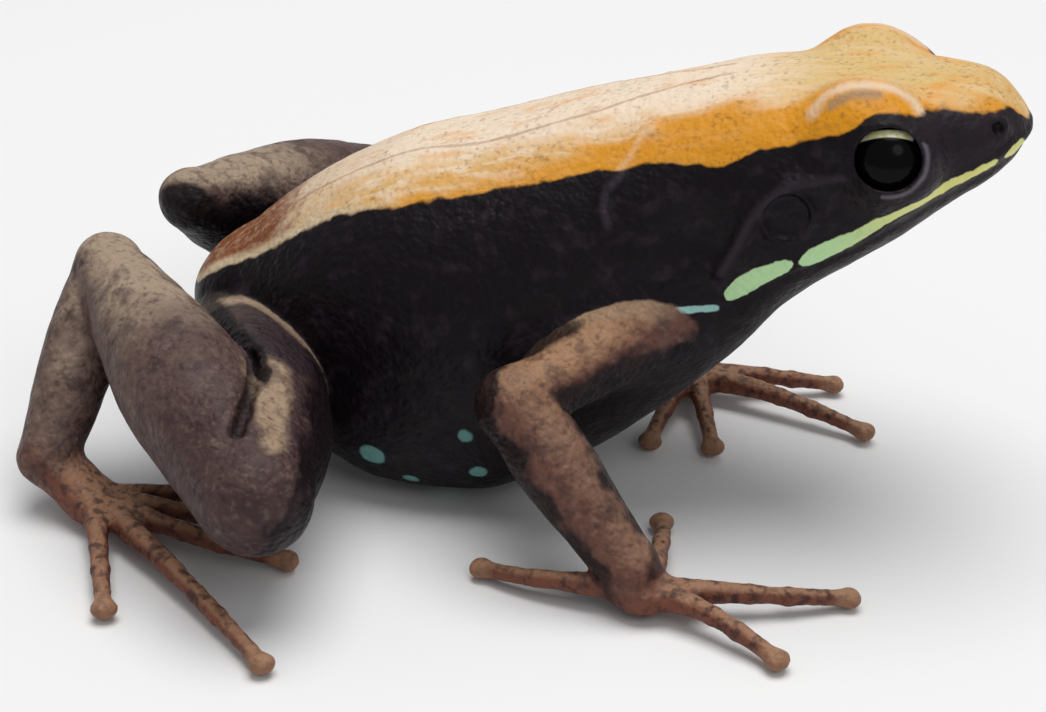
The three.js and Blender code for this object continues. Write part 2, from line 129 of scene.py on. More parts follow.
# Girth of the limbs: (how far along, radius across, radius up and down)
THIGH = [(0, 1.9, 1.9), (0.3, 2.25, 2.2), (0.62, 2.4, 2.35), (0.85, 2.0, 1.95), (1, 1.6, 1.6)]
SHANK = [(0, 1.6, 1.55), (0.2, 1.8, 1.75), (0.45, 1.95, 1.9), (0.75, 1.55, 1.5), (1, 1.0, 1.0)]
TARSUS = [(0, 1.05, 1.0), (0.3, 1.22, 1.05), (0.65, 1.15, 0.92), (1, 0.92, 0.8)]
INSTEP = [(0, 0.9, 0.8), (1, 0.85, 0.65)]
UPPER_ARM = [(0, 1.3, 1.4), (0.4, 1.15, 1.2), (0.8, 1.02, 1.05), (1, 1.05, 1.1)]
FOREARM = [(0, 1.05, 1.1), (0.35, 1.18, 1.18), (0.75, 1.0, 1.0), (1, 0.9, 0.85)]
WRIST = [(0, 0.9, 0.85), (1, 0.85, 0.65)]
# Flesh between thigh and shank: (how far in from the knee, radius), then one more ball beside it
KNEE_FLESH = [(0, 1.45), (1.2, 1.5), (2.9, 1.4)]
KNEE_FILL_AT = (0.69, 0.45, 0.85)
KNEE_FILL_RADIUS = 1.05
THIGH_FLATTENING = 0.35
SOLE_HALF_SIZES = (0.95, 0.85, 0.6)
PALM_HALF_SIZES = (1.0, 0.95, 0.58)
DIGIT_ROOT, DIGIT_SHAFT, DIGIT_PAD = 0.42, 0.27, 0.32
TIP_DISC_HALF_SIZES = (0.36, 0.43, 0.3)
DIGIT_HEIGHT = 0.36
DIGIT_ARCH = 0.3

# Joint positions, and for each digit its heading at the root and at the tip, in degrees to the
# frog's left of straight ahead, and its length from the middle of the hand or foot. The crease is
# where the folded shank meets the thigh. Places by the thigh, as there, are the share of the way
# from hip to knee, then forward and up
RIGHT = {
    "hip": (2.0, -1.9, 3.7), "knee": (4.8, -10.85, 3.8), "heel": (-1.87, -2.66, 6.3),
    "instep": (-2.75, -6.33, 1.67), "sole": (-1.1, -7.01, 0.75),
    "toes": [(25, 35, 3.7), (-1, 8, 4.8), (-27, 2, 6.35), (-43, -45, 9.45), (-70, -68, 5.25)],
    "shoulder": (15.0, -2.9, 6.75), "elbow": (11.12, -6.55, 5.15), "wrist": (14.75, -8.2, 1.25),
    "palm": (15.2, -8.3, 0.7),
    "fingers": [(192, 150, 4.9), (80, 100, 4.45), (1, 27, 5.9), (-22, -36, 4.5)],
    "crease": [(0.5, 0.12, 1.85), (0.7, 0.06, 1.92), (0.85, -0.16, 1.88), (0.96, -0.42, 1.68)],
}
LEFT = {
    "hip": (2.0, 1.9, 3.7), "knee": (3.4, 11.9, 3.36), "heel": (-0.87, 2.54, 6.41),
    "instep": (0.13, 7.14, 2.5), "sole": (1.2, 8.3, 0.75),
    "toes": [(-36, -44, 3.7), (-12, -20, 4.8), (12, -14, 6.35), (34, 24, 9.4), (56, 50, 5.25)],
    "shoulder": (15.0, 2.9, 6.75), "elbow": (10.95, 6.55, 5.2), "wrist": (14.72, 5.59, 1.24),
    "palm": (15.2, 5.15, 0.7),
    "fingers": [(-109, -97, 4.25), (-78, -74, 4.2), (-16, -23, 6.0), (8, 20, 4.65)],
    "crease": [(0.5, 1.2, 1.65), (0.68, 1.0, 1.75), (0.8, 0.7, 1.75), (0.9, 0.4, 1.6)],
}
POSES = (RIGHT, LEFT)
CREASE_RADIUS = 0.13
TOE_JOINTS = (1, 1, 2, 3, 2)
FINGER_JOINTS = (1, 1, 2, 2)
DIGIT_STEPS = 16
DIGIT_SETTLING = 1.5
DIGIT_TAPER = (0.1, 0.6)
JOINTS_FROM, JOINTS_OVER, JOINT_LENGTH = 0.35, 0.5, 0.045

# How widely each shape runs into what it is added to or cut from
BLEND = {
    "thigh": 0.25, "shank": 0.12, "knee": 0.45, "knee_fill": 0.4, "tarsus": 0.25, "instep": 0.3,
    "sole": 0.3, "toe": 0.16, "crease": 0.3, "upper_arm": 0.8, "forearm": 0.25, "wrist": 0.35,
    "palm": 0.3, "finger": 0.16, "orbit": 0.5, "lids": 0.35, "lid_rim": 0.12, "lid_opening": 0.06,
    "eyeball": 0.0, "hollow": 0.5, "fold": 0.4, "eardrum_rim": 0.1, "eardrum": 0.12,
    "nostril_swell": 0.25, "nostril": 0.06, "lip": 0.3, "mouth": 0.1,
}
CHAIN_BLEND = 0.08
FLOOR_BLEND = 0.06
# Which of them make up the legs, the arms, and the hands and feet
LEG = ("thigh", "knee", "knee_fill", "shank", "tarsus")
ARM = ("upper_arm", "forearm")
ENDS = ("instep", "sole", "toe", "wrist", "palm", "finger")

# Boxes round the grid and round the small shapes of the left side, each as low and high corner
GRID_BOX = ((-4.1, -14.7, -0.5), (BODY_LENGTH + 0.6, 14.0, 15.0))
EYE_BOX = ((18.5, 1.2, 9.5), (22.8, 5.2, 14.5))
EARDRUM_BOX = ((15.5, 2.0, 8.0), (20.5, 4.8, 13.0))
SHOULDER_BOX = ((11.5, 1.0, 7.0), (16.0, 5.5, 13.5))
MOUTH_BOX = ((15.5, -4.8, 5.5), (BODY_LENGTH + 0.3, 4.8, 13.2))

# How the grid, the curves and the small lumps of the skin are worked out
OUTSIDE = 1.0
CURVE_SAMPLES = 400
RELAXING = (0.5, -0.52) * 2
FINE_SIZE, FINE_HEIGHT = 0.36, 0.012
COARSE_SIZE, COARSE_HEIGHT = 0.9, 0.02
LATTICE_SHIFT = 3.1
LATTICE_SIDE = 32
RIDGE_WIDTH, RIDGE_HEIGHT = 0.14, 0.05

# Markings, all given for both sides alike, with painted highlights, painted sheen and painted shade among
# them. Lines on the side of the body are (x, z) points.
GOLD_EDGE = [(0, 5.0), (0.53, 5.42), (1.08, 5.94), (2.32, 6.63), (3.34, 7.43), (4.93, 8.51),
             (7.09, 9.31), (9.98, 10.14), (12.8, 10.97), (14.08, 11.25), (15.0, 11.42), (16.2, 11.53),
             (16.7, 11.78), (17.2, 12.12), (17.95, 12.28), (18.6, 12.62), (19.5, 13.01), (20.0, 13.35),
             (20.6, 13.5), (21.3, 13.42), (22.1, 13.28), (23.0, 13.22), (23.6, 13.2), (24.1, 13.08),
             (BODY_LENGTH, 12.9)]
# How far out from the middle of the back that edge lies, and a thin raised line on each side of it
GOLD_REACH = [(0, 1.0), (1.7, 1.6), (3.3, 2.25), (4.9, 2.55), (7, 3.1), (12.8, 3.1), (17.2, 3.25),
              (19.5, 3.75), (21.2, 3.3), (22.1, 2.2), (23, 1.8), (BODY_LENGTH, 0.6)]
RIDGE_LINE = [(0, 1.0), (7.2, 1.1), (9.2, 1.4), (12.2, 1.2), (13.5, 0.85), (15.2, 0.5), (18, 0.3)]
STRIPE_LINE = [(16.7, 8.0), (17.3, 8.47), (18.0, 8.9), (18.5, 9.13), (18.95, 9.35), (19.9, 9.85),
               (20.6, 10.35), (21.4, 10.92), (22.4, 11.3), (23.1, 11.62), (23.6, 11.86), (24.4, 12.2)]
STRIPE_HALF_WIDTH = [(16.4, -0.3), (16.6, 0.12), (16.8, 0.28), (17.3, 0.3), (17.7, 0.24), (18.05, 0.2),
                     (18.35, 0.1), (18.47, -0.05), (18.6, 0.12), (18.9, 0.24), (19.4, 0.25),
                     (20.0, 0.2), (20.6, 0.17), (21.4, 0.15), (22.2, 0.13), (23.0, 0.11),
                     (23.6, 0.08), (23.78, -0.05), (23.9, 0.1), (24.3, 0.13), (24.5, -0.3)]
STREAK_LINE = [(14.95, 7.42), (15.6, 7.45), (16.35, 7.5)]
FOLD_OVER_EARDRUM = [(19.5, 11.75), (18.2, 11.4), (17.74, 11.1), (17.36, 10.71), (17.04, 10.13),
                     (16.88, 9.67), (16.64, 9.11), (16.4, 8.6)]
SHOULDER_FOLD = [(14.12, 12.11), (13.86, 11.95), (13.64, 11.53), (13.42, 11.13), (13.3, 10.82),
                 (13.01, 10.51), (12.98, 10.1), (13.17, 9.68)]
# Painted highlight along each brow, and painted shade on the brow inside it
BROW_GLEAM = [(18.45, 3.0, 13.3), (18.6, 2.8, 13.6), (18.95, 2.7, 13.85), (20.0, 2.65, 14.05),
              (20.7, 2.5, 13.95), (21.25, 2.5, 13.65), (21.45, 2.8, 13.4)]
BROW_SHADE = [(19.0, 3.15, 13.55), (19.5, 3.05, 13.85), (20.2, 3.0, 13.9)]
BELLY_SPOTS = [(6.6, 4.54, 1.9, 0.4), (9.45, 4.98, 3.1, 0.22), (9.77, 4.48, 1.67, 0.27),
               (7.69, 4.1, 0.97, 0.25), (8.6, 2.9, 0.2, 0.42), (6.2, 2.2, 0.2, 0.36),
               (10.9, 1.7, 0.45, 0.38), (12.4, 3.1, 1.7, 0.3), (9.4, 0.6, 0.0, 0.33),
               (12.9, 0.5, 1.4, 0.36), (7.4, 0.9, 0.0, 0.25)]
SLANT_OF_SIDE = 0.85
GOLD_AT_SNOUT = 0.3
# Reach round each heel of the painted shade on the inward-facing sides
DARK_HEEL_RADIUS = 2.9
THIGH_PATCH = ((0.6, 0.5, 2.1), (0.95, 0.35, 1.75))
THIGH_PATCH_RADIUS = 0.72
GROIN = ((0.24, -0.3, 1.9), (0.46, 1.2, 1.8))
GROIN_RADIUS = 1.0
# Painted highlight in a ring in front of each eye: its spread past the lid opening, and its half width
RIM_MARK_SPREAD, RIM_MARK_HALF_WIDTH = 1.24, 0.07
# Painted shade inside each nostril, as a black spot of this radius
NOSTRIL_MARK_RADIUS = 0.18
LINE_HALF_WIDTHS = {"streak": 0.1, "gleam": 0.3, "shade": 0.3, "fold": 0.2, "seam": 0.2}

# Colours, as red, green and blue from 0 to 255 on a screen
BLACK = (0, 0, 0)
INK = (14, 6, 13)
INK_SHEEN = (40, 31, 38)
# Painted sheen along the folds of skin over the eardrum and round the shoulder
INK_FOLD_SHEEN = (66, 56, 66)
# Painted highlight round the eye
INK_RIM_HIGHLIGHT = (118, 112, 126)
GOLD_BRIGHT = (216, 144, 22)
GOLD_HEAD = (222, 152, 58)
GOLD_CROWN = (214, 182, 122)
GOLD_TAN = (216, 172, 108)
# Pale gold: painted sheen along the top of the back, and pale streaks
GOLD_PALE = (236, 216, 192)
GOLD_RUMP = (204, 180, 150)
GOLD_RUST = (124, 70, 40)
LINE_BROWN = (150, 98, 62)
RUMP_EDGE = (206, 188, 156)
SPECK = (100, 62, 42)
TAUPE = (92, 72, 67)
# Pale taupe painted as light on the upper sides of the legs near the heels
TAUPE_TOP_LIT = (162, 142, 122)
# Darker taupe: painted shade on the lower sides of the limbs, and the darker tone of the legs away from the
# heels
TAUPE_LOW = (64, 45, 47)
TAUPE_DARK = (52, 36, 40)
# Arms painted lighter on top and darker on their sides, as painted light and shade; the upper arm paler than
# the forearm
ARM_TOP = (158, 120, 90)
FOREARM_TOP = (130, 98, 80)
ARM_SIDE_SHADED = (106, 72, 62)
# Pale of the thigh patch and of fine flecks, also painted as sheen along the edge of the thigh
PATCH_PALE = (164, 140, 116)
RUST = (118, 72, 56)
# Pale of the toe and finger tips, also painted as light on the upper sides of hands and feet
PAD_PALE = (168, 130, 102)
LIP_GREEN = (188, 226, 170)
LIP_YELLOW = (226, 224, 138)
SPOT_BLUE = (100, 150, 146)
STREAK_BLUE = (150, 194, 188)
# Painted highlight on the brow and along the shoulder fold, and painted shade on the brow
GLEAM = (232, 224, 206)
SHADE = (146, 126, 104)
PUPIL = (6, 5, 7)
IRIS_GOLD = (232, 230, 150)
IRIS_CREAM = (255, 255, 236)

Shape = namedtuple("Shape", "low high distance")
Layer = namedtuple("Layer", "mark colour begin full strength wander blotch detail",
                   defaults=(1.0, 0.0, 0.5, 4))

# Layers of colour, laid on one after another: the value on the skin that steers each, its colour,
# the values where it begins and is full, its strength, and how far its edge wanders, in blotches
# of what size and detail
INK_LAYERS = [
    Layer("forward", INK_SHEEN, 19.5, 22.5, 0.7),
    # painted sheen along the shoulder fold and the fold over the eardrum
    Layer("fold_lead", INK_FOLD_SHEEN, 0.0, 0.2, 0.45),
    Layer("seam_lead", INK_FOLD_SHEEN, 0.0, 0.2, 0.4),
    # painted highlight round the eye
    Layer("rim_highlight_lead", INK_RIM_HIGHLIGHT, -0.03, 0.08, 0.6, 0.03, 0.3),
    # painted shade inside the nostrils
    Layer("nostril_shade_lead", BLACK, -0.04, 0.03),
]
RIDGE_LAYERS = [Layer("ridge_gap", LINE_BROWN, 0.1, 0.03, 0.45, 0.05, 0.5)]
BROW_LAYERS = [
    # painted highlight on the brow
    Layer("gleam_lead", GLEAM, -0.15, 0.3, 0.6, 0.12, 0.3),
    # painted shade on the brow
    Layer("shade_lead", SHADE, 0.0, 0.25, 0.7, 0.08, 0.3),
    # painted highlight along the shoulder fold
    Layer("fold_lead", GLEAM, 0.0, 0.3, 0.35, 0.2, 0.3),
]
SHIN_LAYERS = [
    Layer("heel_gap", TAUPE_LOW, 6.5, 9.5, 0.6, 1.0, 0.9),
    Layer("ahead", TAUPE_DARK, 0.1, 0.5, 0.6, 0.15, 0.6),
]
PATCH_LAYERS = [Layer("patch_lead", PATCH_PALE, -0.15, 0.25, 0.9, 0.2, 0.5)]
CREASE_LAYERS = [
    # painted shade in the crease between the folded shank and the thigh
    Layer("crease_shade_gap", INK, 0.34, 0.12, 0.8, 0.05, 0.4),
    Layer("groin_lead", INK_SHEEN, -0.25, 0.25, 0.8, 0.35, 0.7, 3),
]
HIDDEN_LAYERS = [
    # painted shade on the back of the thigh under the folded shank, and dark on its front
    Layer("hidden_lead", INK, -0.12, 0.12, 0.9, 0.35, 0.9, 3),
    # painted shade on the inward-facing sides near the heels
    Layer("inner_shade_lead", INK, -0.15, 0.15, 0.95, 0.15, 0.5, 3),
    Layer("under_arm_lead", INK, -0.05, 0.05, 1.0, 0.25, 0.7, 3),
]
TIP_LAYERS = [Layer("tip_gap", PAD_PALE, 0.75, 0.4, 0.5)]

# Finish of skin and eyes
SKIN_FINISH = {
    "Specular IOR Level": 0.15, "Subsurface Weight": 0.06, "Subsurface Radius": (0.6, 0.3, 0.2),
    "Subsurface Scale": 0.4 * MM, "Coat Weight": 0.05, "Coat Roughness": 0.2,
}
EYE_FINISH = {
    "Roughness": 0.2, "Specular IOR Level": 0.05, "Coat Weight": 0.08, "Coat Roughness": 0.03,
}
GRAIN_DEPTH, WRINKLE_DEPTH = 0.04, 0.09

# Floor and lights in metres and watts; camera in millimetres and degrees
FLOOR_HALF_SIZE = 0.6
FLOOR_FINISH = {"Base Color": (0.86, 0.86, 0.86, 1), "Roughness": 0.8}
WORLD_STRENGTH = 0.36
LIT_POINT = (0, 0, 0.006)
TOP_LIGHT = ("top", (0.01, 0.02, 0.25), 0.22, 0.5)
FRONT_LIGHT = ("front", (0.09, -0.14, 0.16), 0.1, 0.05)
CAMERA_AZIMUTH, CAMERA_ELEVATION, CAMERA_ROLL = 8.9, 26.5, 1.89
CAMERA_DISTANCE = 74.2
CAMERA_TARGET = (10.2945, 0, 3.388)
FOCAL_PIXELS, PICTURE_WIDTH, SENSOR_WIDTH = 2423, 1046, 36


def curve(pairs, x):
    """Value at x of the smooth curve through (x, value) pairs."""
    xs, ys = np.array(pairs, float).T
    slope = np.empty_like(ys)
    slope[1:-1] = (ys[2:] - ys[:-2]) / (xs[2:] - xs[:-2])
    slope[0] = (ys[1] - ys[0]) / (xs[1] - xs[0])
    slope[-1] = (ys[-1] - ys[-2]) / (xs[-1] - xs[-2])
    at = np.linspace(xs[0], xs[-1], CURVE_SAMPLES)
    i = np.clip(np.searchsorted(xs, at, side="right") - 1, 0, len(xs) - 2)
    width = xs[i + 1] - xs[i]
    t = (at - xs[i]) / width
    value = ys[i] + (ys[i + 1] - ys[i]) * t * t * (3 - 2 * t)
    value += t * (1 - t) ** 2 * width * slope[i] + t * t * (t - 1) * width * slope[i + 1]
    return np.interp(x, at, value)


def smooth_step(low, high, value):
    t = np.clip((value - low) / (high - low), 0, 1)
    return t * t * (3 - 2 * t)


def smooth_min(a, b, blend):
    if blend <= 0:
        return np.minimum(a, b)
    h = np.clip(0.5 + 0.5 * (b - a) / blend, 0, 1)
    return b + (a - b) * h - blend * h * (1 - h)


def smooth_max(a, b, blend):
    return -smooth_min(-a, -b, blend)


def unit(vector):
    return vector / np.linalg.norm(vector)


def spread(x, y, z, origin, *axes):
    """How far a place lies from an origin along each of the given axes."""
    px, py, pz = x - origin[0], y - origin[1], z - origin[2]
    return [px * axis[0] + py * axis[1] + pz * axis[2] for axis in axes]


def oval_distance(parts, half_sizes):
    """Distance to an oval, less than 0 inside, from how far a place lies along each of its axes."""
    share = np.sqrt(sum((part / half) ** 2 for part, half in zip(parts, half_sizes)))
    return (share - 1) * np.sqrt(sum(part * part for part in parts)) / (share + 1e-6)


def body_distance(x, y, z):
    """Distance to the surface of trunk and head, less than 0 inside."""
    top, bottom, wide = (curve(line, x) for line in (BACK_LINE, BELLY_LINE, HALF_WIDTH))
    middle = bottom + (top - bottom) * WIDEST_LEVEL
    rise = z - middle
    above = rise > 0
    tall = np.where(above, top - middle, middle - bottom)
    to_head = smooth_step(NECK_X - 3, NECK_X + 1, x)
    trunk = smooth_step(RUMP_ROUNDING, NECK_X / 2, x)
    upper = RUMP_SQUARENESS + (BACK_SQUARENESS - RUMP_SQUARENESS) * trunk
    power = np.where(above, upper, BELLY_SQUARENESS) * (1 - to_head)
    power = power + HEAD_SQUARENESS * to_head
    ring = (np.abs(y / wide) ** power + np.abs(rise / tall) ** power) ** (1 / power)
    rump = np.maximum(0, (RUMP_ROUNDING - x) / RUMP_ROUNDING)
    snout = np.maximum(0, (x - BODY_LENGTH + SNOUT_ROUNDING) / SNOUT_ROUNDING)
    share = np.sqrt(ring ** 2 + rump ** 2 + snout ** 2)
    past = rump * RUMP_ROUNDING + snout * SNOUT_ROUNDING
    reach = np.sqrt(y * y + rise * rise + past * past)
    return (share - 1) * reach / np.maximum(share, 0.05)


def surface_point(origin, direction):
    """Where a ray from inside trunk or head comes out of its surface."""
    near, far = 0.0, BODY_LENGTH
    for _ in range(40):
        half = (near + far) / 2
        if body_distance(*(origin + direction * half)) < 0:
            near = half
        else:
            far = half
    return origin + direction * near


def limb(start, end, girth):
    """A limb segment whose two radii follow the girth list from one joint to the next."""
    start, end = np.array(start, float), np.array(end, float)
    length = np.linalg.norm(end - start)
    axis = (end - start) / length
    side = unit(np.cross((0, 0, 1), axis))
    up = np.cross(axis, side)

    def distance(x, y, z):
        along, sideways, upward = spread(x, y, z, start, axis, side, up)
        t = np.clip(along / length, 0, 1)
        wide = curve([(at, radius) for at, radius, _ in girth], t)
        tall = curve([(at, radius) for at, _, radius in girth], t)
        return oval_distance((sideways, upward, along - t * length), (wide, tall, tall))

    widest = max(max(g[1:]) for g in girth)
    return Shape(np.minimum(start, end) - widest, np.maximum(start, end) + widest, distance)


def egg(centre, half_sizes):
    centre, half = np.array(centre, float), np.array(half_sizes, float)

    def distance(x, y, z):
        return oval_distance((x - centre[0], y - centre[1], z - centre[2]), half)

    return Shape(centre - half, centre + half, distance)


def ball(centre, radius):
    return egg(centre, (radius,) * 3)


def chain(points, radii, blend=CHAIN_BLEND):
    """A tube through a row of points whose radius changes from each point to the next."""
    points = np.array(points, float)

    def distance(x, y, z):
        best = None
        for a, b, ra, rb in zip(points[:-1], points[1:], radii[:-1], radii[1:]):
            ab = b - a
            px, py, pz = x - a[0], y - a[1], z - a[2]
            t = np.clip((px * ab[0] + py * ab[1] + pz * ab[2]) / (ab @ ab), 0, 1)
            gap = np.sqrt((px - t * ab[0]) ** 2 + (py - t * ab[1]) ** 2 + (pz - t * ab[2]) ** 2)
            gap = gap - (ra + (rb - ra) * t)
            best = gap if best is None else smooth_min(best, gap, blend)
        return best

    widest = max(radii)
    return Shape(np.min(points, 0) - widest, np.max(points, 0) + widest, distance)


def gap_to_path(verts, path):
    """Distance from each vertex to a row of points."""
    return chain(path, [0] * len(path), 0).distance(*verts.T)


def gap_to_side_line(x, z, line):
    """Distance, seen from the side, to a row of (x, z) points."""
    return chain([(px, 0, pz) for px, pz in line], [0] * len(line), 0).distance(x, 0, z)


def digit_path(middle, course):
    """Centre line of a finger or toe from the middle of the hand or foot."""
    root_heading, tip_heading, length = course
    points = [np.array(middle, float)]
    for i in range(1, DIGIT_STEPS + 1):
        part = i / DIGIT_STEPS
        heading = math.radians(root_heading + (tip_heading - root_heading) * (i - 0.5) / DIGIT_STEPS)
        move = np.array([math.cos(heading), math.sin(heading), 0]) * length / DIGIT_STEPS
        point = points[-1] + move
        settle = min(1, DIGIT_SETTLING * part)
        point[2] = middle[2] + (DIGIT_HEIGHT - middle[2]) * settle
        point[2] += DIGIT_ARCH * math.sin(math.pi * part)
        points.append(point)
    return points


def digit_radii(steps, joints):
    """Radii along a digit, with a swelling at each joint."""
    part = np.linspace(0, 1, steps)
    radius = DIGIT_ROOT + (DIGIT_SHAFT - DIGIT_ROOT) * smooth_step(*DIGIT_TAPER, part)
    for j in range(1, joints + 1):
        at = JOINTS_FROM + JOINTS_OVER * j / (joints + 1)
        radius = radius + (DIGIT_PAD - DIGIT_SHAFT) * np.exp(-((part - at) / JOINT_LENGTH) ** 2)
    return list(radius)


def tip_disc(before, tip):
    """Widened end of a digit, set across its last stretch."""
    ahead = unit((tip - before) * (1, 1, 0))
    axes = (ahead, np.cross((0, 0, 1), ahead), (0, 0, 1))
    widest = max(TIP_DISC_HALF_SIZES)

    def distance(x, y, z):
        return oval_distance(spread(x, y, z, tip, *axes), TIP_DISC_HALF_SIZES)

    return Shape(tip - widest, tip + widest, distance)


def digits_of(middle, courses, joint_counts):
    shapes, tips = [], []
    for course, joints in zip(courses, joint_counts):
        path = digit_path(middle, course)
        shapes.append(chain(path, digit_radii(len(path), joints)))
        shapes.append(tip_disc(path[-2], path[-1]))
        tips.append(path[-1])
    return shapes, tips


def eye_axes(side):
    """Middle of an eye and its own axes: forward along the head, up in the lid plane, outward."""
    tilt = math.radians(LID_TILT)
    centre = np.array(EYE_CENTRE) * (1, side, 1)
    outward = np.array((0, side * math.cos(tilt), math.sin(tilt)))
    up = np.array((0, -side * math.sin(tilt), math.cos(tilt)))
    return centre, np.array((1.0, 0, 0)), up, outward


def lid_opening_distance(side, x, y, z):
    """Distance to the oval column between the lids, on the outer side of the eye."""
    ahead, up, out = spread(x, y, z, *eye_axes(side))
    return np.maximum(oval_distance((ahead, up), LID_OPENING), LID_DEPTH - out)


def lid_rim_distance(side, x, y, z):
    """Distance to the roll of skin along the edge of the lids."""
    ahead, up, out = spread(x, y, z, *eye_axes(side))
    edge = oval_distance((ahead, up), np.array(LID_OPENING) * LID_RIM_SPREAD)
    shell = np.sqrt(ahead ** 2 + up ** 2 + out ** 2) - EYE_RADIUS - LID_RIM_LIFT
    return np.where(out > 0, np.hypot(edge, shell) - LID_RIM, OUTSIDE)


def side_line_distance(line, radius, x, y, z):
    """Distance to a roll lying on the side of the body along points given as (x, z)."""
    return np.hypot(gap_to_side_line(x, z, line), body_distance(x, y, z)) - radius


def mouth_distance(lift, radius, x, y, z):
    """Distance to a roll on the surface of the head, lifted over the line of the mouth."""
    z = z - lift
    line = np.hypot((z - curve(MOUTH_LINE, x)) * SLANT_OF_SIDE, body_distance(x, y, z))
    return line + np.maximum(0, MOUTH_LINE[0][0] - x) - radius


def eardrum_rim(x, y, z):
    ring = np.hypot(x - EARDRUM_AT[0], z - EARDRUM_AT[1]) - EARDRUM_RADIUS
    return np.hypot(ring, body_distance(x, y, z)) - EARDRUM_RIM


def eardrum_disc(x, y, z):
    disc = np.hypot(x - EARDRUM_AT[0], z - EARDRUM_AT[1]) - EARDRUM_DISC
    return np.maximum(disc, np.abs(body_distance(x, y, z)) - EARDRUM_DEPTH)


def nostril_point(side):
    return surface_point(NOSTRIL_BETWEEN, np.array(NOSTRIL_FACING) * (1, side, 1))


class Field:
    """Signed distance to the skin on a regular grid."""

    def __init__(self, low, high, step):
        self.low = np.array(low, float)
        self.step = step
        self.count = np.ceil((np.array(high) - self.low) / step).astype(int) + 1
        self.value = np.full(self.count, 5.0, np.float32)

    def window(self, low, high, reach):
        first = np.floor((np.array(low) - reach - self.low) / self.step).astype(int)
        last = np.ceil((np.array(high) + reach - self.low) / self.step).astype(int) + 1
        first, last = np.clip(first, 0, self.count), np.clip(last, 0, self.count)
        axes = [self.low[i] + self.step * np.arange(first[i], last[i]) for i in range(3)]
        where = tuple(slice(a, b) for a, b in zip(first, last))
        return where, np.meshgrid(*axes, indexing="ij", sparse=True)

    def add(self, name, shape, sign=1):
        """Adds a shape to what is there, or cuts it out with a sign of -1."""
        where, grid = self.window(shape.low, shape.high, BLEND[name] + 2 * self.step)
        self.value[where] = sign * smooth_min(sign * self.value[where], shape.distance(*grid), BLEND[name])

    def cut(self, name, shape):
        self.add(name, shape, -1)


def folds_of(pose):
    """Knee of a folded leg, and the directions from it to the hip and to the heel."""
    hip, knee, heel = (np.array(pose[k]) for k in ("hip", "knee", "heel"))
    return knee, unit(hip - knee), unit(heel - knee)


def thigh_shape(pose):
    """Thigh, flattened where the folded shank lies against it."""
    whole = limb(pose["hip"], pose["knee"], THIGH)
    knee, to_hip, to_heel = folds_of(pose)
    normal = unit(to_heel - to_hip)

    def distance(x, y, z):
        plane, = spread(x, y, z, knee, normal)
        return smooth_max(whole.distance(x, y, z), plane, THIGH_FLATTENING)

    return Shape(whole.low, whole.high, distance)


def beside_thigh(pose, along, ahead, rise):
    """A point by the thigh: the share of the way from hip to knee, then forward and up."""
    hip, knee = np.array(pose["hip"]), np.array(pose["knee"])
    return hip + (knee - hip) * along + (ahead, 0, rise)


def crease_line(pose):
    """The crease between the folded shank and the thigh, where it runs out towards the knee."""
    return [beside_thigh(pose, *place) for place in pose["crease"]]


def knee_shape(pose):
    """Flesh that fills the crease between thigh and shank near the knee."""
    knee, to_hip, to_heel = folds_of(pose)
    inward = unit(to_hip + to_heel)
    return chain([knee + inward * at for at, _ in KNEE_FLESH], [radius for _, radius in KNEE_FLESH])


def leg_shapes(pose):
    """Named segments of a hind leg, and the tips of its toes."""
    toes, tips = digits_of(pose["sole"], pose["toes"], TOE_JOINTS)
    parts = [
        ("thigh", thigh_shape(pose)),
        ("shank", limb(pose["knee"], pose["heel"], SHANK)),
        ("knee", knee_shape(pose)),
        ("knee_fill", ball(beside_thigh(pose, *KNEE_FILL_AT), KNEE_FILL_RADIUS)),
        ("tarsus", limb(pose["heel"], pose["instep"], TARSUS)),
        ("instep", limb(pose["instep"], pose["sole"], INSTEP)),
        ("sole", egg(pose["sole"], SOLE_HALF_SIZES)),
    ]
    return parts + [("toe", toe) for toe in toes], tips


def arm_shapes(pose):
    fingers, tips = digits_of(pose["palm"], pose["fingers"], FINGER_JOINTS)
    parts = [
        ("upper_arm", limb(pose["shoulder"], pose["elbow"], UPPER_ARM)),
        ("forearm", limb(pose["elbow"], pose["wrist"], FOREARM)),
        ("wrist", limb(pose["wrist"], pose["palm"], WRIST)),
        ("palm", egg(pose["palm"], PALM_HALF_SIZES)),
    ]
    return parts + [("finger", finger) for finger in fingers], tips


def on_side(side, box, distance, *given):
    """A shape on one side of the head only; its box is given as for the left side."""
    low, high = (np.array(corner) * (1, side, 1) for corner in box)

    def one_sided(x, y, z):
        return np.where(y * side > 0, distance(*given, x, y, z), OUTSIDE)

    return Shape(np.minimum(low, high), np.maximum(low, high), one_sided)


def add_eye_region(field, side):
    """Orbit, lids with their rims, and the socket that holds the eyeball."""
    centre, _, _, outward = eye_axes(side)
    field.add("orbit", egg(np.array(ORBIT_CENTRE) * (1, side, 1), ORBIT_HALF_SIZES))
    field.add("lids", ball(centre - outward * LID_SET_BACK, LID_BALL_RADIUS))
    field.add("lid_rim", on_side(side, EYE_BOX, lid_rim_distance, side))
    field.cut("lid_opening", on_side(side, EYE_BOX, lid_opening_distance, side))
    field.cut("eyeball", ball(centre, EYE_RADIUS + EYE_CLEARANCE))


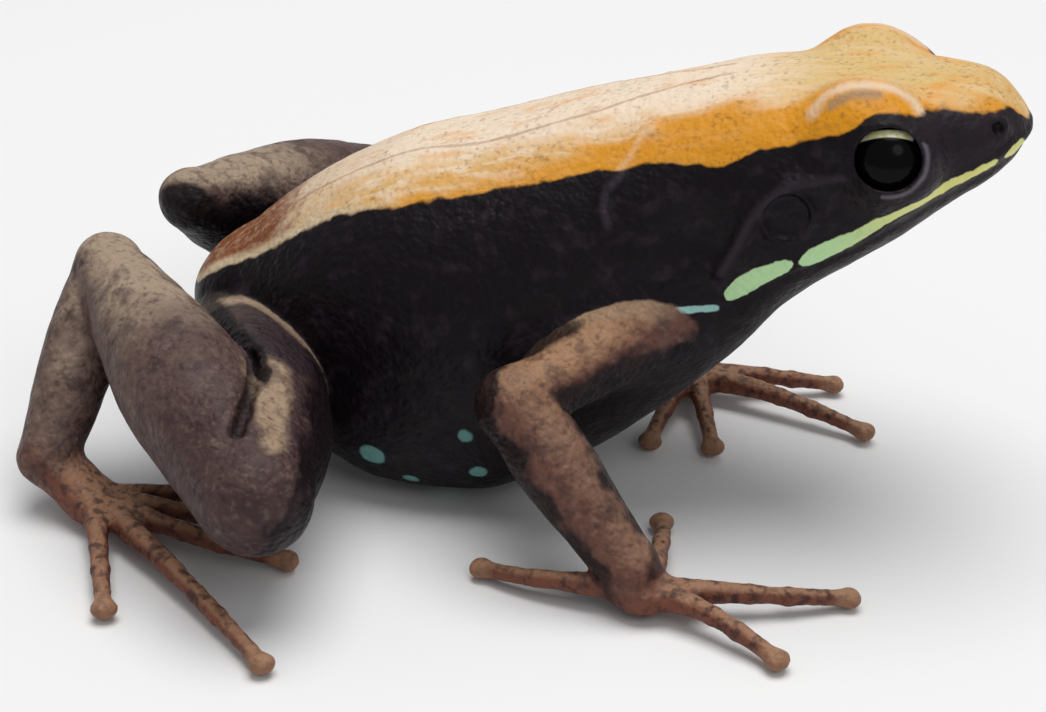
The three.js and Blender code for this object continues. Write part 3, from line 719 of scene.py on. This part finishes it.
def add_side_folds(field, side):
    """Folds of skin over the eardrum and round the shoulder, and the hollow between them."""
    field.cut("hollow", ball(np.array(SHOULDER_HOLLOW_AT) * (1, side, 1), SHOULDER_HOLLOW_RADIUS))
    field.add("fold", on_side(side, EARDRUM_BOX, side_line_distance, FOLD_OVER_EARDRUM, EARDRUM_FOLD_RADIUS))
    field.add("eardrum_rim", on_side(side, EARDRUM_BOX, eardrum_rim))
    field.cut("eardrum", on_side(side, EARDRUM_BOX, eardrum_disc))
    field.add("fold", on_side(side, SHOULDER_BOX, side_line_distance, SHOULDER_FOLD, SHOULDER_FOLD_RADIUS))


def add_nostril(field, side):
    nostril = nostril_point(side)
    field.add("nostril_swell", ball(nostril * (1, NOSTRIL_SWELL_INWARD, 1), NOSTRIL_RADIUS * NOSTRIL_SWELL))
    field.cut("nostril", ball(nostril, NOSTRIL_RADIUS))


def lattice_noise(points, size, seed):
    """Smooth noise from -1 to 1 whose blotches are about one size across."""
    rng = np.random.default_rng(seed)
    lattice = rng.uniform(-1, 1, (LATTICE_SIDE,) * 3)
    q = points / size
    cell = np.floor(q).astype(int)
    t = q - cell
    t = t * t * (3 - 2 * t)
    total = np.zeros(len(points))
    for corner in np.ndindex(2, 2, 2):
        weight = np.prod(np.abs(1 - np.array(corner) - t), axis=1)
        total += weight * lattice[tuple(((cell + corner) % LATTICE_SIDE).T)]
    return total


def build_field():
    field = Field(*GRID_BOX, GRID_STEP)
    where, grid = field.window(*GRID_BOX, 0)
    field.value[where] = body_distance(*grid)
    limbs, tips = [], []
    for pose in POSES:
        for parts, found in (leg_shapes(pose), arm_shapes(pose)):
            limbs += parts
            tips += found
            for name, shape in parts:
                field.add(name, shape)
        crease = crease_line(pose)
        field.cut("crease", chain(crease, [CREASE_RADIUS] * len(crease)))
    for side in (-1, 1):
        add_eye_region(field, side)
        add_side_folds(field, side)
        add_nostril(field, side)
    field.add("lip", Shape(*MOUTH_BOX, partial(mouth_distance, LIP_HEIGHT, LIP_ROUNDING)))
    field.cut("mouth", Shape(*MOUTH_BOX, partial(mouth_distance, 0, MOUTH_ROUNDING)))
    field.value = smooth_max(field.value + SKIN_INSET, -grid[2], FLOOR_BLEND)
    return field, limbs, tips


def surface_of(field):
    """Vertices and quads of the zero surface of the field, one vertex in each cell it crosses."""
    value = field.value
    inside = value < 0
    nx, ny, nz = (n - 1 for n in value.shape)
    count = np.zeros((nx, ny, nz), np.uint8)
    for i, j, k in np.ndindex(2, 2, 2):
        count += inside[i:nx + i, j:ny + j, k:nz + k]
    cells = np.argwhere((count > 0) & (count < 8))
    number = np.full(count.shape, -1, np.int32)
    number[cells[:, 0], cells[:, 1], cells[:, 2]] = np.arange(len(cells))
    total = np.zeros((len(cells), 3))
    hits = np.zeros(len(cells))
    for ca in np.ndindex(2, 2, 2):
        for axis in range(3):
            if ca[axis]:
                continue
            cb = tuple(c + (i == axis) for i, c in enumerate(ca))
            va = value[tuple((cells + ca).T)]
            vb = value[tuple((cells + cb).T)]
            crossed = (va < 0) != (vb < 0)
            share = np.where(crossed, va / np.where(crossed, va - vb, 1), 0)
            point = np.array(ca, float) + share[:, None] * (np.array(cb) - np.array(ca))
            total += point * crossed[:, None]
            hits += crossed
    verts = (cells + total / hits[:, None]) * field.step + field.low
    faces = []
    for axis in range(3):
        b, c = (axis + 1) % 3, (axis + 2) % 3
        first = np.take(inside, range(value.shape[axis] - 1), axis)
        second = np.take(inside, range(1, value.shape[axis]), axis)
        edge = np.argwhere(first != second)
        edge = edge[(edge[:, b] > 0) & (edge[:, c] > 0)]
        edge = edge[(edge[:, b] < value.shape[b] - 1) & (edge[:, c] < value.shape[c] - 1)]
        ring = []
        for db, dc in ((1, 1), (0, 1), (0, 0), (1, 0)):
            cell = edge.copy()
            cell[:, b] -= db
            cell[:, c] -= dc
            ring.append(number[tuple(cell.T)])
        quad = np.stack(ring, 1)
        leaving = first[tuple(edge.T)]
        quad[~leaving] = quad[~leaving][:, ::-1]
        faces.append(quad)
    return verts, np.concatenate(faces)


def relax(verts, faces):
    """Evens out the steps that a grid leaves, without shrinking the whole."""
    a = faces.ravel()
    b = np.roll(faces, -1, 1).ravel()
    for pull in RELAXING:
        total = np.zeros_like(verts)
        for i in range(3):
            total[:, i] = np.bincount(a, verts[b, i], len(verts)) + np.bincount(b, verts[a, i], len(verts))
        degree = np.bincount(a, minlength=len(verts)) + np.bincount(b, minlength=len(verts))
        verts = verts + pull * (total / degree[:, None] - verts)
    return verts


def vertex_normals(verts, faces):
    diagonal = np.cross(verts[faces[:, 2]] - verts[faces[:, 0]], verts[faces[:, 3]] - verts[faces[:, 1]])
    normals = np.zeros_like(verts)
    for corner in range(4):
        for i in range(3):
            normals[:, i] += np.bincount(faces[:, corner], diagonal[:, i], len(verts))
    return normals / np.maximum(np.linalg.norm(normals, axis=1), 1e-12)[:, None]


def gap_to_point(verts, point):
    return np.linalg.norm(verts - point, axis=1)


def nearest_limbs(verts, limbs):
    """Distance from each vertex to the nearest limb segment of each name."""
    near = {}
    for name, shape in limbs:
        gap = shape.distance(*verts.T)
        near[name] = np.minimum(near.get(name, gap), gap)
    return near


def thigh_patches(verts):
    """Pale patch along the top of each thigh, and the dark groin between it and the flank."""
    leads = []
    for places, radius in ((THIGH_PATCH, THIGH_PATCH_RADIUS), (GROIN, GROIN_RADIUS)):
        gaps = [gap_to_path(verts, [beside_thigh(pose, *at) for at in places]) for pose in POSES]
        leads.append(radius - np.minimum(*gaps))
    return leads


def eye_rim_lead(verts):
    """Painted highlight: a pale ring in front of the eye, just outside the lids, fading to its top and back.
    """
    ahead, over, out = spread(*verts.T, *eye_axes(1))
    ring = np.hypot(ahead / LID_OPENING[0], over / LID_OPENING[1]) / RIM_MARK_SPREAD
    lead = RIM_MARK_HALF_WIDTH - np.abs(ring - 1) - 3 * np.maximum(0, -0.1 - ahead)
    return np.where(out > 0.5, lead - np.maximum(0, over - 0.5), -1)


def stripe_lead(x, z):
    """Stripe along the lip, whose width changes and falls below 0 where it is broken."""
    width_x, _ = zip(*STRIPE_HALF_WIDTH)
    lead = curve(STRIPE_HALF_WIDTH, x) - np.abs(z - np.interp(x, *zip(*STRIPE_LINE))) * SLANT_OF_SIDE
    return np.where((x > width_x[0]) & (x < width_x[-1]), lead, -1)


def head_markings(x, y, z):
    """Lines and spots of trunk and head, painted light and painted shade among them, on both sides alike:
    how far inside each a vertex lies.
    """
    verts = np.stack((x, np.abs(y), z), 1)
    gaps = {
        "streak": gap_to_side_line(x, z, STREAK_LINE),
        "gleam": gap_to_path(verts, BROW_GLEAM),
        "shade": gap_to_path(verts, BROW_SHADE),
        "fold": gap_to_side_line(x, z, SHOULDER_FOLD),
        "seam": gap_to_side_line(x, z, FOLD_OVER_EARDRUM),
    }
    leads = {name + "_lead": LINE_HALF_WIDTHS[name] - gap for name, gap in gaps.items()}
    spots = [radius - gap_to_point(verts, at) for *at, radius in BELLY_SPOTS]
    leads["spot_lead"] = np.max(spots, axis=0)
    leads["stripe_lead"] = stripe_lead(x, z)
    leads["rim_highlight_lead"] = eye_rim_lead(verts)
    # painted shade inside the nostril
    leads["nostril_shade_lead"] = NOSTRIL_MARK_RADIUS - gap_to_point(verts, nostril_point(1))
    return leads


def markings_of(verts, normals, limbs, tips):
    """Values on the skin that its material turns into colours. A lead is how far, in
    millimetres, a vertex lies inside a marking; it is less than 0 outside."""
    x, y, z = verts.T
    facing_x, facing_y, up = normals.T
    near = nearest_limbs(verts, limbs)
    body = body_distance(x, y, z)
    leg, arm, ends = (np.min([near[name] for name in names], axis=0) for names in (LEG, ARM, ENDS))
    limb_gap = np.minimum(np.minimum(leg, arm), ends)
    on_upper_arm = near["forearm"] - near["upper_arm"]
    on_thigh = near["shank"] - near["thigh"]
    at_snout = smooth_step(23, 24, x) * smooth_step(1.3, 0.4, np.abs(y))
    pale, dark = thigh_patches(verts)
    # Back of the thigh, for painted shade under the folded shank, and its front, painted dark
    hidden = np.maximum(-facing_x - 0.3, facing_x - 0.5 - 0.35 * up)
    heel_gap = np.minimum(*[gap_to_point(verts, pose["heel"]) for pose in POSES])
    # inward-facing sides, which get painted shade near the heels
    facing_in = -np.sign(y) * facing_y - 0.35 - 0.25 * up
    off_ridge = 3 * smooth_step(0.2, -0.2, up) + smooth_step(16, 18, x)
    marks = head_markings(x, y, z)
    for name, lead in marks.items():
        marks[name] = np.where(body < limb_gap + 0.05, lead, -1)
    return marks | {
        "forward": x,
        "up": up,
        "gold_lead": z - curve(GOLD_EDGE, x) + GOLD_AT_SNOUT * at_snout,
        "inward": curve(GOLD_REACH, x) - np.abs(y),
        "limb_lead": body - limb_gap,
        "end_lead": np.minimum(leg, arm) - ends,
        "arm_lead": leg - arm,
        "upper_arm_lead": on_upper_arm,
        "thigh_lead": on_thigh,
        "patch_lead": smooth_min(pale, on_thigh + 0.7, 0.3),
        "groin_lead": smooth_min(dark, on_thigh + 0.15, 0.3),
        "hidden_lead": np.minimum(hidden, on_thigh + 0.1),
        "ahead": np.where(on_thigh > 0, facing_x, -1),
        "crease_shade_gap": np.minimum(*[gap_to_path(verts, crease_line(pose)) for pose in POSES]),
        "heel_gap": heel_gap,
        "inner_shade_lead": np.minimum(facing_in, DARK_HEEL_RADIUS - heel_gap),
        "under_arm_lead": np.where(on_upper_arm > 0.1, -up - 0.15, -1),
        "tip_gap": np.min([gap_to_point(verts, tip) for tip in tips], axis=0),
        "ridge_gap": np.abs(np.abs(y) - curve(RIDGE_LINE, x)) + off_ridge,
    }


def rise_of_skin(verts, normals, marks):
    """Small lumps of the skin in millimetres: fine grain on the back, coarser on the limbs."""
    fine = lattice_noise(verts, FINE_SIZE, SEED) * FINE_HEIGHT
    coarse = lattice_noise(verts + LATTICE_SHIFT, COARSE_SIZE, SEED + 1) * COARSE_HEIGHT
    on_limb = smooth_step(-0.1, 0.3, marks["limb_lead"])
    wrinkled = smooth_step(4.5, 2.0, marks["heel_gap"]) * on_limb
    ridge = RIDGE_HEIGHT * np.exp(-(marks["ridge_gap"] / RIDGE_WIDTH) ** 2) * smooth_step(3, 7, verts[:, 0])
    calm = smooth_step(0.0, 0.8, np.abs(verts[:, 2]))
    return (fine + coarse * (0.3 + 0.8 * on_limb + 0.8 * wrinkled) + ridge) * calm


def row_offset():
    """From the layout frame to the row frame, in millimetres."""
    low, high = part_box("eye_right")
    eye = (np.array(low) + np.array(high)) / 2 / MM
    return eye - np.array(EYE_CENTRE) * (1, -1, 1)


def make_mesh(name, verts, faces):
    mesh = bpy.data.meshes.new(name)
    mesh.vertices.add(len(verts))
    mesh.vertices.foreach_set("co", verts.astype(np.float32).ravel())
    mesh.loops.add(faces.size)
    mesh.loops.foreach_set("vertex_index", faces.astype(np.int32).ravel())
    mesh.polygons.add(len(faces))
    mesh.polygons.foreach_set("loop_start", np.arange(0, faces.size, faces.shape[1], dtype=np.int32))
    mesh.update(calc_edges=True)
    mesh.validate()
    return mesh


def place_in_scene(name, data):
    item = bpy.data.objects.new(name, data)
    bpy.context.scene.collection.objects.link(item)
    return item


def make_piece(name, mesh, marks, material):
    """A smooth-shaded piece with values on its vertices for the material to read."""
    mesh.polygons.foreach_set("use_smooth", np.ones(len(mesh.polygons), bool))
    for label, values in marks.items():
        layer = mesh.attributes.new(label, "FLOAT", "POINT")
        layer.data.foreach_set("value", np.asarray(values, np.float32))
    mesh.materials.append(material)
    return place_in_scene(name, mesh)


class Shader:
    """Builds a node material step by step; every method gives back an output socket."""

    def __init__(self, name, finish):
        self.material = bpy.data.materials.new(name)
        self.material.use_nodes = True
        self.tree = self.material.node_tree
        self.principled = self.tree.nodes["Principled BSDF"]
        self.place = self.tree.nodes.new("ShaderNodeTexCoord").outputs["Object"]
        for label, value in finish.items():
            self.principled.inputs[label].default_value = value

    def connect(self, socket, value):
        if isinstance(value, bpy.types.NodeSocket):
            self.tree.links.new(value, socket)
        else:
            socket.default_value = value

    def add(self, kind, inputs, **settings):
        """Adds a node and gives back its outputs."""
        node = self.tree.nodes.new("ShaderNode" + kind)
        for label, value in settings.items():
            setattr(node, label, value)
        for label, value in inputs.items():
            self.connect(node.inputs[label], value)
        return node.outputs

    def number(self, operation, *values):
        return self.add("Math", dict(enumerate(values)), operation=operation)[0]

    def times(self, first, second):
        return self.number("MULTIPLY", first, second)

    def ease(self, value, low, high, start=0.0, end=1.0):
        given = dict(enumerate((value, low, high, start, end)))
        return self.add("MapRange", given, interpolation_type="SMOOTHSTEP")[0]

    def mark(self, name):
        return self.add("Attribute", {}, attribute_name=name)["Fac"]

    def noise(self, size_mm, detail=3, stretch=(1, 1, 1)):
        """Noise whose blotches are about the given size; the result is about 0 to 1."""
        place = self.add("Mapping", {"Vector": self.place, "Scale": [1 / s for s in stretch]})[0]
        return self.add("TexNoise", {"Vector": place, "Scale": 1 / (size_mm * MM), "Detail": detail})["Fac"]

    def grains(self, size_mm):
        """Rounded grains packed side by side: 0 between them and near 1 on their tops."""
        grain = self.add("TexVoronoi", {"Vector": self.place, "Scale": 1 / (size_mm * MM)})
        return self.ease(grain["Distance"], 0.75, 0.05)

    def wandering(self, name, wander_mm, size_mm, detail=4, stretch=(1, 1, 1)):
        """A value given on the skin, moved up and down a little from place to place."""
        wander = self.number("SUBTRACT", self.noise(size_mm, detail, stretch), 0.5)
        return self.number("ADD", self.mark(name), self.times(wander, wander_mm * 2))

    def edge(self, name, wander_mm, size_mm, soft=0.05):
        """Share inside a marking, whose edge wanders a little."""
        return self.ease(self.wandering(name, wander_mm, size_mm, 3), -soft, soft)

    def mix(self, share, first, second):
        first, second = (c if isinstance(c, bpy.types.NodeSocket) else linear(*c) for c in (first, second))
        return self.add("Mix", {"Factor": share, "A": first, "B": second}, data_type="RGBA")["Result"]

    def lay(self, base, colour, share, strength):
        return self.mix(self.times(share, strength), base, colour)

    def lay_all(self, base, layers):
        for layer in layers:
            if layer.wander:
                value = self.wandering(layer.mark, layer.wander, layer.blotch, layer.detail)
            else:
                value = self.mark(layer.mark)
            base = self.lay(base, layer.colour, self.ease(value, layer.begin, layer.full), layer.strength)
        return base

    def bump(self, height, depth_mm, **below):
        return self.add("Bump", {"Height": height, "Distance": depth_mm * MM, **below})["Normal"]


def linear(red, green, blue):
    """Linear colour from the 0 to 255 values seen on a screen."""
    parts = [v / 255 for v in (red, green, blue)]
    return (*[v / 12.92 if v <= 0.04045 else ((v + 0.055) / 1.055) ** 2.4 for v in parts], 1.0)


def gold_back_colour(s):
    """Gold of the back: a bright band along its edge that widens on the head, streaked tan over it
    and a pale top of painted sheen; dark specks, soft painted gleam on the brow and along the shoulder
    fold, and painted shade on the brow."""
    forward = s.mark("forward")
    depth = s.wandering("inward", 0.7, 0.8, 4, (3, 1, 1))
    # paler towards the middle of the back: painted sheen
    trunk = s.mix(s.ease(depth, 0.5, 2.0), GOLD_TAN, GOLD_PALE)
    over_crown = s.number("MAXIMUM", s.ease(depth, 0.7, 2.1), s.ease(forward, 21.0, 22.8, 0.0, 0.8))
    crown = s.mix(over_crown, GOLD_HEAD, GOLD_CROWN)
    base = s.mix(s.ease(forward, 15.5, 19.0), trunk, crown)
    streaks = s.ease(s.noise(0.3, 4, (7, 1, 1)), 0.45, 0.62)
    base = s.lay(base, GOLD_PALE, streaks, s.ease(forward, 16.0, 19.0, 0.6, 0.2))
    base = s.lay(base, GOLD_HEAD, s.ease(s.noise(0.55, 4, (3, 1, 1)), 0.5, 0.68), 0.4)
    band = s.times(s.ease(forward, 8.0, 17.0, 0.12, 1.2), s.ease(forward, 22.4, 20.8, 0.15, 1.0))
    base = s.lay(base, GOLD_BRIGHT, s.ease(s.number("SUBTRACT", depth, band), 0.4, -0.3), 0.9)
    base = s.lay_all(rump_colour(s, base, forward), RIDGE_LAYERS)
    specks = s.times(s.ease(s.noise(0.16, 4), 0.5, 0.72), s.ease(s.noise(1.1, 3), 0.3, 0.6))
    return s.lay_all(s.lay(base, SPECK, specks, 0.42), BROW_LAYERS)


def rump_colour(s, base, forward):
    """Dull tan of the rump, rusty along its middle and pale along its edge."""
    place = s.number("ADD", forward, s.times(s.noise(0.5, 4), 2.0))
    base = s.lay(base, GOLD_RUMP, s.ease(place, 8.0, 4.5), 0.8)
    rust = s.times(s.ease(place, 5.0, 3.7), s.ease(s.mark("inward"), 0.05, 0.4))
    base = s.lay(base, GOLD_RUST, rust, s.ease(s.noise(0.2, 3), 0.64, 0.45, 0.7, 1.0))
    pale_edge = s.times(s.ease(s.mark("gold_lead"), 0.25, 0.08), s.ease(forward, 8.0, 5.0))
    return s.lay(base, RUMP_EDGE, pale_edge, 0.75)


def limb_colour(s):
    """Grey-brown of the limbs with dark blotches, brown arms, and rusty hands and feet, all painted lighter
    on their upper sides and darker on their lower sides as painted light and shade, palest on top near the
    heels."""
    # How far the skin faces up, which steers the painted light on upper sides and painted shade on lower
    # sides
    level = s.wandering("up", 0.3, 0.6)
    base = s.lay_all(s.mix(s.ease(level, 0.1, -0.6), TAUPE, TAUPE_LOW), SHIN_LAYERS)
    near_heel = s.ease(s.wandering("heel_gap", 1.0, 0.9), 6.5, 3.0)
    # painted light on the upper sides of the legs near the heels
    base = s.lay(base, TAUPE_TOP_LIT, s.ease(level, 0.35, 0.9), near_heel)
    # arms: painted light on top, painted shade on their sides
    lit_arm_top = s.mix(s.ease(s.mark("upper_arm_lead"), -0.6, 0.6), FOREARM_TOP, ARM_TOP)
    arm = s.mix(s.ease(level, 0.25, 0.8), ARM_SIDE_SHADED, lit_arm_top)
    base = s.lay_all(s.mix(s.edge("arm_lead", 0.1, 0.8), base, arm), PATCH_LAYERS)
    base = s.lay(base, TAUPE_DARK, s.ease(s.noise(0.8, 5), 0.5, 0.66), 0.55)
    fine = s.noise(0.22, 4)
    base = s.mix(s.ease(fine, 0.5, 0.72, 0.0, 0.5), base, TAUPE_DARK)
    base = s.mix(s.ease(fine, 0.46, 0.3, 0.0, 0.14), base, PATCH_PALE)
    # painted shade in the crease, and the dark groin
    base = s.lay_all(base, CREASE_LAYERS)
    # Painted sheen along the upper side of the thigh's edge where it meets the flank
    thigh_edge_sheen = s.times(s.ease(s.mark("limb_lead"), 0.5, 0.3), s.ease(s.mark("thigh_lead"), 0.1, 0.4))
    base = s.lay(base, PATCH_PALE, s.times(thigh_edge_sheen, s.ease(level, 0.1, 0.5)), 0.5)
    base = s.lay_all(base, HIDDEN_LAYERS)
    # painted light on the upper sides of hands and feet
    rusty = s.mix(s.ease(level, 0.35, 0.95, 0.0, 0.7), RUST, PAD_PALE)
    rusty = s.mix(s.ease(s.noise(0.3, 4), 0.44, 0.66, 0.0, 0.75), rusty, TAUPE_DARK)
    base = s.mix(s.ease(s.wandering("end_lead", 0.3, 0.5), -0.3, 0.7), base, rusty)
    return s.lay_all(base, TIP_LAYERS)


def ink_colour(s):
    """Black of the flanks and belly, a little lighter on the face, with painted sheen in its folds, a
    painted highlight round the eye and painted shade in the nostrils.
    """
    return s.lay_all(s.mix(s.ease(s.noise(0.6, 4), 0.5, 0.8), INK, INK_SHEEN), INK_LAYERS)


def skin_material():
    s = Shader("skin", SKIN_FINISH)
    base = s.mix(s.edge("gold_lead", 0.14, 0.6), ink_colour(s), gold_back_colour(s))
    base = s.mix(s.edge("spot_lead", 0.08, 0.4), base, SPOT_BLUE)
    lip = s.mix(s.ease(s.mark("forward"), 18.8, 22.0), LIP_GREEN, LIP_YELLOW)
    lip = s.lay(lip, STREAK_BLUE, s.ease(s.noise(0.25, 3), 0.5, 0.8), 0.3)
    base = s.mix(s.edge("stripe_lead", 0.07, 0.25, 0.03), base, lip)
    base = s.mix(s.edge("streak_lead", 0.04, 0.3, 0.03), base, STREAK_BLUE)
    on_limb = s.edge("limb_lead", 0.15, 0.7)
    s.connect(s.principled.inputs["Base Color"], s.mix(on_limb, base, limb_colour(s)))
    s.connect(s.principled.inputs["Roughness"], s.ease(s.noise(0.5, 3), 0.3, 0.7, 0.42, 0.6))
    strength = s.number("ADD", s.times(on_limb, 0.5), 0.5)
    grain = s.number("ADD", s.grains(0.26), s.times(s.grains(0.15), 0.5))
    normal = s.bump(s.times(grain, strength), GRAIN_DEPTH)
    wrinkle = s.times(s.noise(0.6, 4, (1, 2.2, 1)), strength)
    s.connect(s.principled.inputs["Normal"], s.bump(wrinkle, WRINKLE_DEPTH, Normal=normal))
    return s.material


def eye_material():
    s = Shader("eye", EYE_FINISH)
    gold = s.mix(s.ease(s.noise(0.12, 3), 0.35, 0.7), IRIS_GOLD, IRIS_CREAM)
    base = s.mix(s.ease(s.mark("iris_lead"), -0.025, 0.025), PUPIL, gold)
    s.connect(s.principled.inputs["Base Color"], base)
    return s.material


def inside_solids_box(verts, offset):
    """Keeps every vertex a hair inside the box round the solids, and none under the floor."""
    low, high = (np.array(corner) / MM - offset for corner in CAD_BOX)
    kept = np.clip(verts, low + BOX_MARGIN, high - BOX_MARGIN)
    kept[:, 2] = np.clip(verts[:, 2], 0, high[2])
    return kept


def build_skin(offset):
    field, limbs, tips = build_field()
    verts, faces = surface_of(field)
    verts = relax(verts, faces)
    normals = vertex_normals(verts, faces)
    marks = markings_of(verts, normals, limbs, tips)
    rise = rise_of_skin(verts, normals, marks)
    verts = inside_solids_box(verts + normals * rise[:, None], offset)
    skin = make_piece("skin", make_mesh("skin", (verts + offset) * MM, faces), marks, skin_material())
    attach(skin, "root")
    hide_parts(*[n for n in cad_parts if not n.startswith("eye")])


def eye_points():
    """Points of a ball of radius 1 in rings from the front pole back, and the two poles last."""
    polar = np.linspace(0, math.pi, EYE_ROWS + 1)[1:-1]
    turn = np.arange(EYE_COLUMNS) / EYE_COLUMNS * 2 * math.pi
    polar, turn = np.meshgrid(polar, turn, indexing="ij")
    rings = np.stack((np.sin(polar) * np.cos(turn), np.sin(polar) * np.sin(turn), np.cos(polar)), 2)
    return np.concatenate((rings.reshape(-1, 3), [(0, 0, 1), (0, 0, -1)]))


def eye_faces(side):
    """Faces over those points, turned outward for the given side."""
    last_ring = (EYE_ROWS - 2) * EYE_COLUMNS
    front, back = last_ring + EYE_COLUMNS, last_ring + EYE_COLUMNS + 1
    faces = []
    for c in range(EYE_COLUMNS):
        d = (c + 1) % EYE_COLUMNS
        faces += [(front, c, d), (back, last_ring + d, last_ring + c)]
        for ring in range(0, last_ring, EYE_COLUMNS):
            after = ring + EYE_COLUMNS
            faces.append((ring + c, after + c, after + d, ring + d))
    return [face[::-1] for face in faces] if side > 0 else faces


def iris_lead(local):
    """How far inside the bright band over the pupil a point of the eyeball lies."""
    middle, height, droop, rise, half_width, half_length = IRIS_BAND
    along = local[:, 0] - middle
    band = half_width - np.abs(local[:, 1] - height + droop * along ** 2 - rise * along)
    return np.where(local[:, 2] > 0, np.minimum(band, half_length - np.abs(along)), -1)


def build_eye(name, side, offset, material):
    """Eyeball with a slightly domed front and a bright band over the pupil."""
    points = eye_points()
    dome = 1 + EYE_DOME * smooth_step(0.5, 0.95, points[:, 2:])
    local = points * dome * EYE_RADIUS
    centre, *axes = eye_axes(side)
    mesh = bpy.data.meshes.new(name + "_ball")
    mesh.from_pydata(((centre + local @ np.array(axes) + offset) * MM).tolist(), [], eye_faces(side))
    eye = make_piece(name + "_ball", mesh, {"iris_lead": iris_lead(local)}, material)
    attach(eye, "root")
    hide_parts(name)


def add_floor():
    mesh = bpy.data.meshes.new("floor")
    half = FLOOR_HALF_SIZE
    corners = [(-half, -half, 0), (half, -half, 0), (half, half, 0), (-half, half, 0)]
    mesh.from_pydata(corners, [], [(0, 1, 2, 3)])
    mesh.materials.append(Shader("floor", FLOOR_FINISH).material)
    place_in_scene("floor", mesh)


def add_light(name, place, size, power):
    data = bpy.data.lights.new(name, "AREA")
    data.shape = "DISK"
    data.size = size
    data.energy = power
    lamp = place_in_scene(name, data)
    lamp.location = place
    lamp.rotation_mode = "QUATERNION"
    lamp.rotation_quaternion = (Vector(LIT_POINT) - Vector(place)).to_track_quat("-Z", "Y")


def add_lights():
    world = bpy.data.worlds.new("studio")
    world.use_nodes = True
    background = world.node_tree.nodes["Background"]
    background.inputs["Color"].default_value = (1, 1, 1, 1)
    background.inputs["Strength"].default_value = WORLD_STRENGTH
    bpy.context.scene.world = world
    add_light(*TOP_LIGHT)
    add_light(*FRONT_LIGHT)


def add_camera(offset):
    """The viewpoint of the photograph: a fitted distance, direction, turn and lens."""
    azimuth, elevation, roll = map(math.radians, (CAMERA_AZIMUTH, CAMERA_ELEVATION, CAMERA_ROLL))
    turn = (Matrix.Rotation(azimuth, 4, "Z") @ Matrix.Rotation(math.pi / 2 - elevation, 4, "X")
            @ Matrix.Rotation(roll, 4, "Z"))
    data = bpy.data.cameras.new("camera")
    data.sensor_width = SENSOR_WIDTH
    data.lens = SENSOR_WIDTH * FOCAL_PIXELS / PICTURE_WIDTH
    data.clip_start = 0.002
    data.clip_end = 5
    camera = place_in_scene("camera", data)
    place = Vector(CAMERA_TARGET + offset) + turn.col[2].to_3d() * CAMERA_DISTANCE
    camera.matrix_world = Matrix.Translation(place * MM) @ turn
    bpy.context.scene.camera = camera


offset = row_offset()
add_camera(offset)
add_floor()
add_lights()
build_skin(offset)
eye_finish = eye_material()
build_eye("eye_right", -1, offset, eye_finish)
build_eye("eye_left", 1, offset, eye_finish)
bpy.context.scene.view_settings.view_transform = "Standard"
